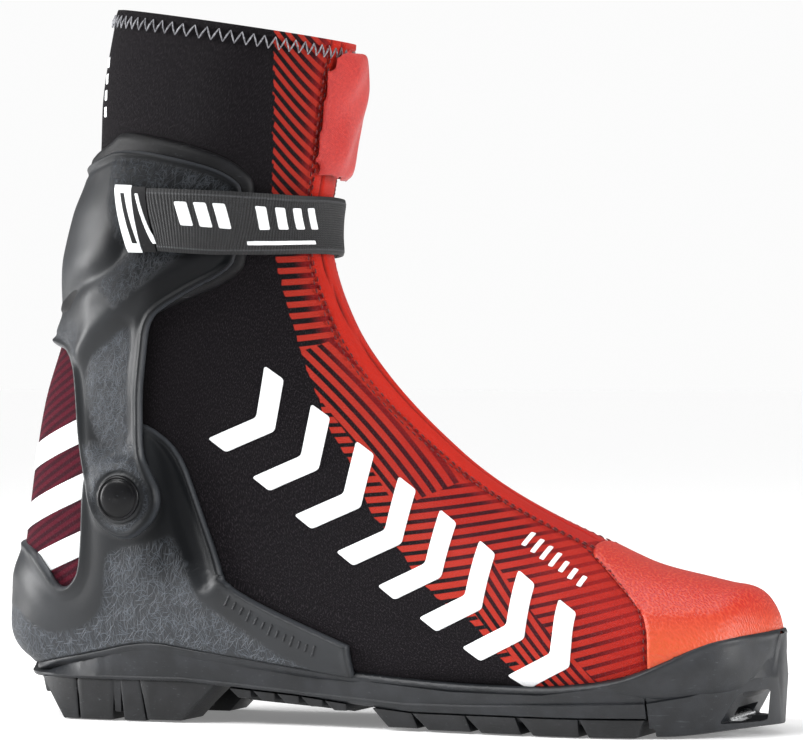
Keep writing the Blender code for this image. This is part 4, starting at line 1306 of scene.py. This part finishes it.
def slab(bottom, top, z_bottom, z_top, side, insets, inner=13.0):
    """Rings of one lug. Its bottom and top run between two x each, and its outer side follows the sole's plan."""
    rings = []
    for t in (0.0, 0.35, 1.0):
        a, b = bottom[0] + (top[0] - bottom[0]) * t, bottom[1] + (top[1] - bottom[1]) * t
        inset = insets[0] + (insets[1] - insets[0]) * t
        row = [(x, z_bottom + (z_top(x) - z_bottom) * t) for x in np.linspace(a, b, 9)]
        outer = [(x, -side * max(half_width(x, side, inset), inner + 2), z) for x, z in row]
        rings.append(outer + [(x, -side * inner, z) for x, z in reversed(row)])
    return rings


def join(name, parts, mat, bevel):
    """One object from several lofted parts."""
    made = [lofted(f"{name}_{k}", rings, mat, bevel) for k, rings in enumerate(parts)]
    with bpy.context.temp_override(active_object=made[0], selected_editable_objects=made, object=made[0]):
        bpy.ops.object.join()
    made[0].name = name
    return made[0]


# Each lug: its bottom's x, its top's x and the height of its underside.
HEEL_BLOCKS = (
    ((-118, -111.5), (-127.5, -112), 0.0), ((-110.8, -97.5), (-111.6, -96), 0.0), ((-96.5, -94), (-97, -93.5), 3.0),
    ((-92.8, -84), (-94, -86), 0.0), ((-83.4, -70), (-86, -56), 0.4),
)
FORE_BLOCKS = (
    ((12, 24), (6, 22), 0.8), ((28, 45), (22, 43), 0.4), ((49, 64.5), (43, 62.5), 0.2), ((69, 86), (64, 86), 0.0),
    ((89.5, 106), (86.5, 109), 0.0),
)
ARCH_RIBS = ((-51, -44), (-41.5, -34.5), (-32, -25), (-22.5, -15.5), (-13, -6))


def low_line(x):
    return height_on(SOLE_LOW, x) - 0.2


def make_treads():
    """Lugs joined by a thin base on each side of the heel and the forefoot, with ribs in the arch."""
    for side, word in SIDES:
        heel = [slab(low, top, z, lambda x: low_line(x) + 1.0, side, (2.6, 1.2)) for low, top, z in HEEL_BLOCKS]
        heel.append(slab((-126, -62), (-127, -58), 9.5, low_line, side, (2.2, 1.4), inner=13.2))
        put(join(f"heel_lugs_{word}", heel, MATS["lug"], 0.45), FOOT, "sole", f"heel_tread_{word}")
        fore = [slab(low, top, z, low_line, side, (3.6, 2.0)) for low, top, z in FORE_BLOCKS]
        fore += [slab((a + 3.4, b + 1.4), (a, b + 1.8), low_line(a) - 3.6, low_line, side, (3.0, 1.6))
                 for a, b in ARCH_RIBS]
        fore.append(slab((9, 108), (6, 109.3), 4.4, low_line, side, (4.2, 3.4), inner=13.2))
        put(join(f"fore_lugs_{word}", fore, MATS["lug"], 0.4), FOOT, "sole", f"fore_tread_{word}")


def prism(name, outline, near, far):
    """A prism across the boot from a side outline."""
    count = len(outline)
    points = [(x, y, z) for y in (near, far) for x, z in outline]
    faces = [(k, (k + 1) % count, count + (k + 1) % count, count + k) for k in range(count)]
    faces += [tuple(range(count))[::-1], tuple(range(count, 2 * count))]
    obj = new_object(name, points, faces, MATS["sole"], smooth=False, weld=0)
    fix_normals(obj)
    return obj


def rectangle(left, low, right, high):
    return ((left, low), (right, low), (right, high), (left, high))


def make_toe_block():
    """The binding block under the toe, with its recess, side windows and facets."""
    low_xs = np.concatenate([np.linspace(110.3, 143, 22), np.linspace(144, 147.9, 12)])
    top_xs = np.concatenate([np.linspace(110.3, 142.6, 22), np.linspace(143.6, 147.8, 12)])

    def low(x):
        return 0.3 + 3.0 * float(ease(x, 114, 149))

    rings = sole_rings(low_xs, top_xs, low, lambda x: height_on(TOE_LEDGE, x), 1.8, 6.6)
    toe = lofted("toe_sole", rings, MATS["sole"])
    window = ((132.0, 4.6), (145.0, 5.0), (146.2, 16.4), (138.6, 15.6))
    cutters = [
        prism("cut_recess", rectangle(119, -5, 143, 9.6), -13.5, 13.5),
        bevelled(prism("cut_window", window, -70, 70), 1.1, 3),
        bevelled(prism("cut_notch", rectangle(108, -5, 112.2, 3.4), -70, 70), 1.1, 3),
    ]
    for cutter in cutters:
        modifier = toe.modifiers.new(cutter.name, "BOOLEAN")
        modifier.operation = "DIFFERENCE"
        modifier.object = cutter
        modifier.solver = "EXACT"
    apply_modifiers(toe)
    for cutter in cutters:
        bpy.data.objects.remove(cutter)
    toe.data.shade_smooth()
    toe.data.set_sharp_from_angle(angle=math.radians(32))
    put(toe, FOOT, "sole", "toe_block")


# ---------------------------------------------------------------- strap and flap

STRAP_LOW, STRAP_HIGH, STRAP_T = 172.0, 194.5, 1.8
STRAP_DROP = 1.6  # how much lower the strap runs at the front of the leg than at its sides
END_LIFT = 7.9  # the strap's free end lies on the cuff, this far off the skin
MM_PER_DEGREE = 0.66  # round the leg, under the strap
BAND_ROWS = 17
PEEL_START, PEEL_END = (-0.0434, -0.0395, 0.182), (-0.0500, -0.0395, 0.182)  # metres, along the strap's free end


def strap_lift(degrees):
    """Offset of the strap's inner face: near the zip at the front, over the cuff at the sides."""
    t = np.clip(np.abs(degrees) / 46.0, 0, 1)
    return 2.4 + 4.0 * t * t * (3 - 2 * t) + 1.5 * ease(degrees, 44, 57)


def strap_drop(angle):
    return STRAP_DROP * np.maximum(np.cos(angle), 0.0)


def band(name, first, last, columns, lift, mat, thick=STRAP_T, slant=(0.0, 0.0), low=STRAP_LOW, high=STRAP_HIGH):
    """A band round the leg between two angles in degrees, with rounded edges. slant leans its two ends."""
    z = np.linspace(low, high, BAND_ROWS)
    profile = np.sqrt(np.clip(1 - (np.abs(np.linspace(-1, 1, BAND_ROWS)) ** 9), 0.02, 1))
    faces_of = {1: [], -1: []}
    for share in np.linspace(0, 1, columns):
        degrees = first + (last - first) * share
        lean = (slant[0] * (1 - share) + slant[1] * share) * (z - z.mean()) / (high - low)
        angle = np.radians(degrees + lean)
        u = station_at(z - strap_drop(angle), angle)
        inner = lift(degrees + lean) if callable(lift) else np.full(BAND_ROWS, lift)
        for sign in (1, -1):
            faces_of[sign].append(skin(u, angle, inner + thick / 2 + sign * thick / 2 * profile))
    outer = np.array(faces_of[1])
    run = np.concatenate([[0], np.linalg.norm(np.diff(outer[:, BAND_ROWS // 2], axis=0), axis=1).cumsum()])
    points = np.vstack([outer.reshape(-1, 3), np.array(faces_of[-1]).reshape(-1, 3)])
    along, across = np.repeat(run, BAND_ROWS), np.tile(z - low, columns)
    edge = np.minimum(across, (high - low) - across)
    uvs = {"cloth": np.tile(np.stack([along, across], 1), (2, 1)), "side": points[:, [0, 2]]}
    obj = new_object(name, points, two_sided(columns, BAND_ROWS), mat, uvs, {"edge": np.tile(edge, 2)})
    fix_normals(obj)
    obj.data.set_sharp_from_angle(angle=math.radians(50))
    return obj, run[-1]


def strap_marks(name, body, outlines, lift, mat, area):
    """Marks on the strap, from outlines in (degrees, z). lift is the offset of the face that they lie on."""

    def field(x, z, values):
        best = np.full(x.shape, -1e9)
        along, height = np.degrees(values["a"]) * MM_PER_DEGREE, z + strap_drop(values["a"])
        for outline in outlines:
            best = np.maximum(best, inside(along, height, np.array(outline, float) * (MM_PER_DEGREE, 1.0)))
        return best

    marks = shell(name, (16.0, 20.0, 300, 420, *area), field, (0.0, 0.22), 0.2, mat, steps=(0.0, 1.0),
                  follow=lambda x, z, values: lift(np.degrees(values["a"])))
    put(marks, body, "tab")


def slash(degrees, width):
    """A leaning bar across the tab."""
    left, right = degrees - 5, degrees + 5
    return [softened([(left, 174.5), (left + width, 174.5), (right + width, 192.5), (right, 192.5)], 0.3)]


def make_strap():
    strap, length = band("strap", -100, 57.3, 120, strap_lift, MATS["webbing"])
    put(strap, CUFF, "webbing", "strap")
    end, length = band("strap_end_band", 57.4, 91.6, 60, END_LIFT, MATS["webbing"], slant=(0, 8))
    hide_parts("strap_end")
    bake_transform(end)
    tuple(PEEL_START)
    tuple(PEEL_END)
    tab_lift, tab_thick = END_LIFT + 0.1, 1.7
    black, _ = band("strap_tab_black", 92, 97.2, 12, tab_lift, MATS["rim"], tab_thick, (8, 10), 171.5, 195)
    put(black, "strap_end", "tab")
    white, _ = band("strap_tab_white", 97.5, 104.5, 14, tab_lift, MATS["print"], tab_thick, (10, 13), 171.3, 195.4)
    put(white, "strap_end", "tab", "strap_tab")


def make_strap_marks():
    """Bars and a line on the strap, and two slashes on its tab."""
    bars = [softened([(d, 181.5), (d + 5.0, 181.5), (d + 9.0, 190), (d + 4.0, 190)], 0.7)
            for d in (16, 25, 34, 43, 60, 67.5, 75)]
    line = softened([(18, 175.6), (52, 175.6), (52.6, 177.2), (18.6, 177.2)], 0.4)
    for name, body, outlines, lift, look, area in (
        ("strap_tab_slash", "strap_end", slash(93.2, 1.5), lambda d: END_LIFT + 1.75, "print", (0.4, 0.75)),
        ("strap_tab_line", "strap_end", slash(99.6, 2.0), lambda d: END_LIFT + 1.75, "rim", (0.4, 0.75)),
        ("strap_end_print", "strap_end", bars[4:], lambda d: END_LIFT + STRAP_T, "print", (0.2, 0.65)),
        ("strap_print", CUFF, bars[:4] + [line], lambda d: strap_lift(d) + STRAP_T, "print", (0.02, 0.5)),
    ):
        strap_marks(name, body, outlines, lift, MATS[look], area)


FLAP_ARCH = ((-19, 0.9), (-12, 3.5), (-5, 5.4), (5, 5.6), (15, 5.3), (25, 4.1), (33, 2.5), (39, 1.3))
FLAP_TOP = 246.5  # the skin ends here, and the flap goes straight up above it


def make_flap():
    """The padded flap: a pillow arched over the top of the zip, puffed up by a cloth simulation."""
    rows, columns = 40, 44
    degrees = np.linspace(19, -39, columns)
    arch = np.interp(-degrees, *np.array(FLAP_ARCH, float).T)
    heights = np.linspace(199.0, 247.0, rows)
    outer, inner = [], []
    for k, z in enumerate(heights):
        share = k / (rows - 1)
        turn = -10 + (degrees + 10) * (1 - 0.13 * abs(2 * share - 1) ** 5)
        angle = np.radians(turn)
        u = station_at(min(z, FLAP_TOP), angle)
        side = np.clip(1 - np.abs(np.linspace(-1, 1, columns)) ** 3.5, 0, 1) ** 0.6
        ends = np.clip(1 - abs(2 * share - 1) ** 5, 0, 1) ** 0.6
        crumple = 0.8 * np.sin((z + 1.1 * turn) / 4.2) * ease(turn, -24, -4) + 0.6 * np.sin((z - 0.7 * turn) / 6.1)
        thick = 0.5 + (2.5 + crumple) * side * ends
        lift = arch * (0.86 + 0.14 * share)
        above = np.array([0, 0, z - min(z, FLAP_TOP)])
        outer.append(skin(u, angle, lift + thick) + above)
        inner.append(skin(u, angle, lift) + above)
    points = np.array(outer + inner).reshape(-1, 3)
    flap = new_object("flap_pad", points, two_sided(rows, columns), MATS["flap"])
    fix_normals(flap)
    puff(flap, voxel=0.0016, pressure=2.2, most=0.0016)
    put(flap, "flap", "red_shell", "garage_flap")


def puff(obj, voxel, pressure, most):
    """Remeshes the pad, inflates it as cloth and keeps each point within most of where it started, in metres."""
    remesh = obj.modifiers.new("remesh", "REMESH")
    remesh.mode = "VOXEL"
    remesh.voxel_size = voxel
    apply_modifiers(obj)
    rest = np.array([v.co for v in obj.data.vertices])
    cloth = obj.modifiers.new("cloth", "CLOTH")
    cloth.settings.use_pressure = True
    cloth.settings.uniform_pressure_force = pressure
    cloth.settings.effector_weights.gravity = 0
    cloth.settings.tension_stiffness = 12
    cloth.settings.bending_stiffness = 0.6
    scene = bpy.context.scene
    for step in range(1, 16):
        scene.frame_set(step)
    apply_modifiers(obj)
    scene.frame_set(1)
    moved = np.array([v.co for v in obj.data.vertices]) - rest
    far = np.linalg.norm(moved, axis=1, keepdims=True)
    moved *= np.minimum(1.0, most / np.maximum(far, 1e-9))
    obj.data.vertices.foreach_set("co", (rest + moved).astype(np.float32).ravel())
    smooth = obj.modifiers.new("smooth", "SMOOTH")
    smooth.iterations = 4
    subdivide = obj.modifiers.new("subdivide", "SUBSURF")
    subdivide.levels = subdivide.render_levels = 1
    apply_modifiers(obj)
    obj.data.shade_smooth()


# ---------------------------------------------------------------- CAD pieces that show as they are


def finish_cad_nodes():
    looks = {
        "binding_bar": "steel", "insole": "footbed", "shank": "lug", "fore_guide_ridge": "lug",
        "heel_guide_ridge": "lug",
        "hook_patch": "hooks", "pivot_washer_lateral": "steel", "pivot_washer_medial": "steel", "strap_rivet": "gloss",
        "zip_slider": "steel", "zip_pull": "rim", "zip_stop": "steel",
    }
    for node, look in looks.items():
        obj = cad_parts[node]
        obj.data.materials.clear()
        obj.data.materials.append(MATS[look])


# ---------------------------------------------------------------- stage


def make_stage():
    size = 30.0
    mesh = bpy.data.meshes.new("floor")
    corners = [(x * size, y * size, -0.0004) for x, y in ((-1, -1), (1, -1), (1, 1), (-1, 1))]
    mesh.from_pydata(corners, [], [(0, 1, 2, 3)])
    floor = bpy.data.objects.new("floor", mesh)
    bpy.context.scene.collection.objects.link(floor)
    s = Shader("pale_floor", 0.9, Specular_IOR_Level=0.1)
    s.colour((0.93, 0.93, 0.93, 1.0))
    s.shader.inputs["Emission Color"].default_value = (1.0, 1.0, 1.0, 1.0)
    s.shader.inputs["Emission Strength"].default_value = 0.2
    mesh.materials.append(s.mat)
    world = bpy.data.worlds.new("studio")
    world.use_nodes = True
    tree = world.node_tree
    shade = tree.nodes["Background"]
    shade.inputs["Color"].default_value = (1.0, 1.0, 1.0, 1.0)
    seen = tree.nodes.new("ShaderNodeMapRange")
    seen.inputs["To Min"].default_value = 0.20
    seen.inputs["To Max"].default_value = 0.97
    tree.links.new(tree.nodes.new("ShaderNodeLightPath").outputs["Is Camera Ray"], seen.inputs["Value"])
    tree.links.new(seen.outputs[0], shade.inputs["Strength"])
    bpy.context.scene.world = world
    bpy.context.scene.view_settings.view_transform = "Standard"
    suns = (("key_sun", (-0.6, -0.9, 1.25), 2.35, 30), ("fill_sun", (1.0, -0.5, 1.1), 0.5, 50))
    for name, place, power, spread in suns:
        light = bpy.data.lights.new(name, "SUN")
        light.energy = power
        light.angle = math.radians(spread)
        aimed(name, light, place)
    lights = (
        ("left_strip", (-1.5, -0.40, 0.35), (0.5, 0.9), 30),
        ("right_strip", (1.5, 0.05, 0.35), (0.5, 0.9), 17),
        ("top_box", (-0.2, 0.35, 1.6), (1.2, 0.5), 10),
    )
    for name, place, (width, height), power in lights:
        light = bpy.data.lights.new(name, "AREA")
        light.shape = "RECTANGLE"
        light.size, light.size_y = width, height
        light.energy = power
        aimed(name, light, place)


def aimed(name, light, place):
    obj = bpy.data.objects.new(name, light)
    bpy.context.scene.collection.objects.link(obj)
    obj.location = place
    obj.rotation_euler = (Vector((0, 0, 0.12)) - Vector(place)).to_track_quat("-Z", "Y").to_euler()


def make_camera():
    """The camera stands 1.5 m away at half the boot's height, turned 20 degrees towards the toe."""
    turn = math.radians(20.0)
    target = Vector((0.0035, 0.0, 0.127))
    camera = bpy.data.objects.new("camera", bpy.data.cameras.new("camera"))
    bpy.context.scene.collection.objects.link(camera)
    camera.location = target + 1.5 * Vector((math.sin(turn), -math.cos(turn), 0.0))
    camera.rotation_euler = (target - camera.location).to_track_quat("-Z", "Y").to_euler()
    camera.data.lens = 183.2
    camera.data.sensor_width = 36.0
    bpy.context.scene.camera = camera


make_camera()
make_stage()
make_upper()
make_hem_stitches()
make_seam_stitches()
make_prints()
make_toe_cover()
make_counter()
make_cuff()
make_pivots()
make_core()
make_tray()
make_treads()
make_toe_block()
make_strap()
make_strap_marks()
make_flap()
finish_cad_nodes()
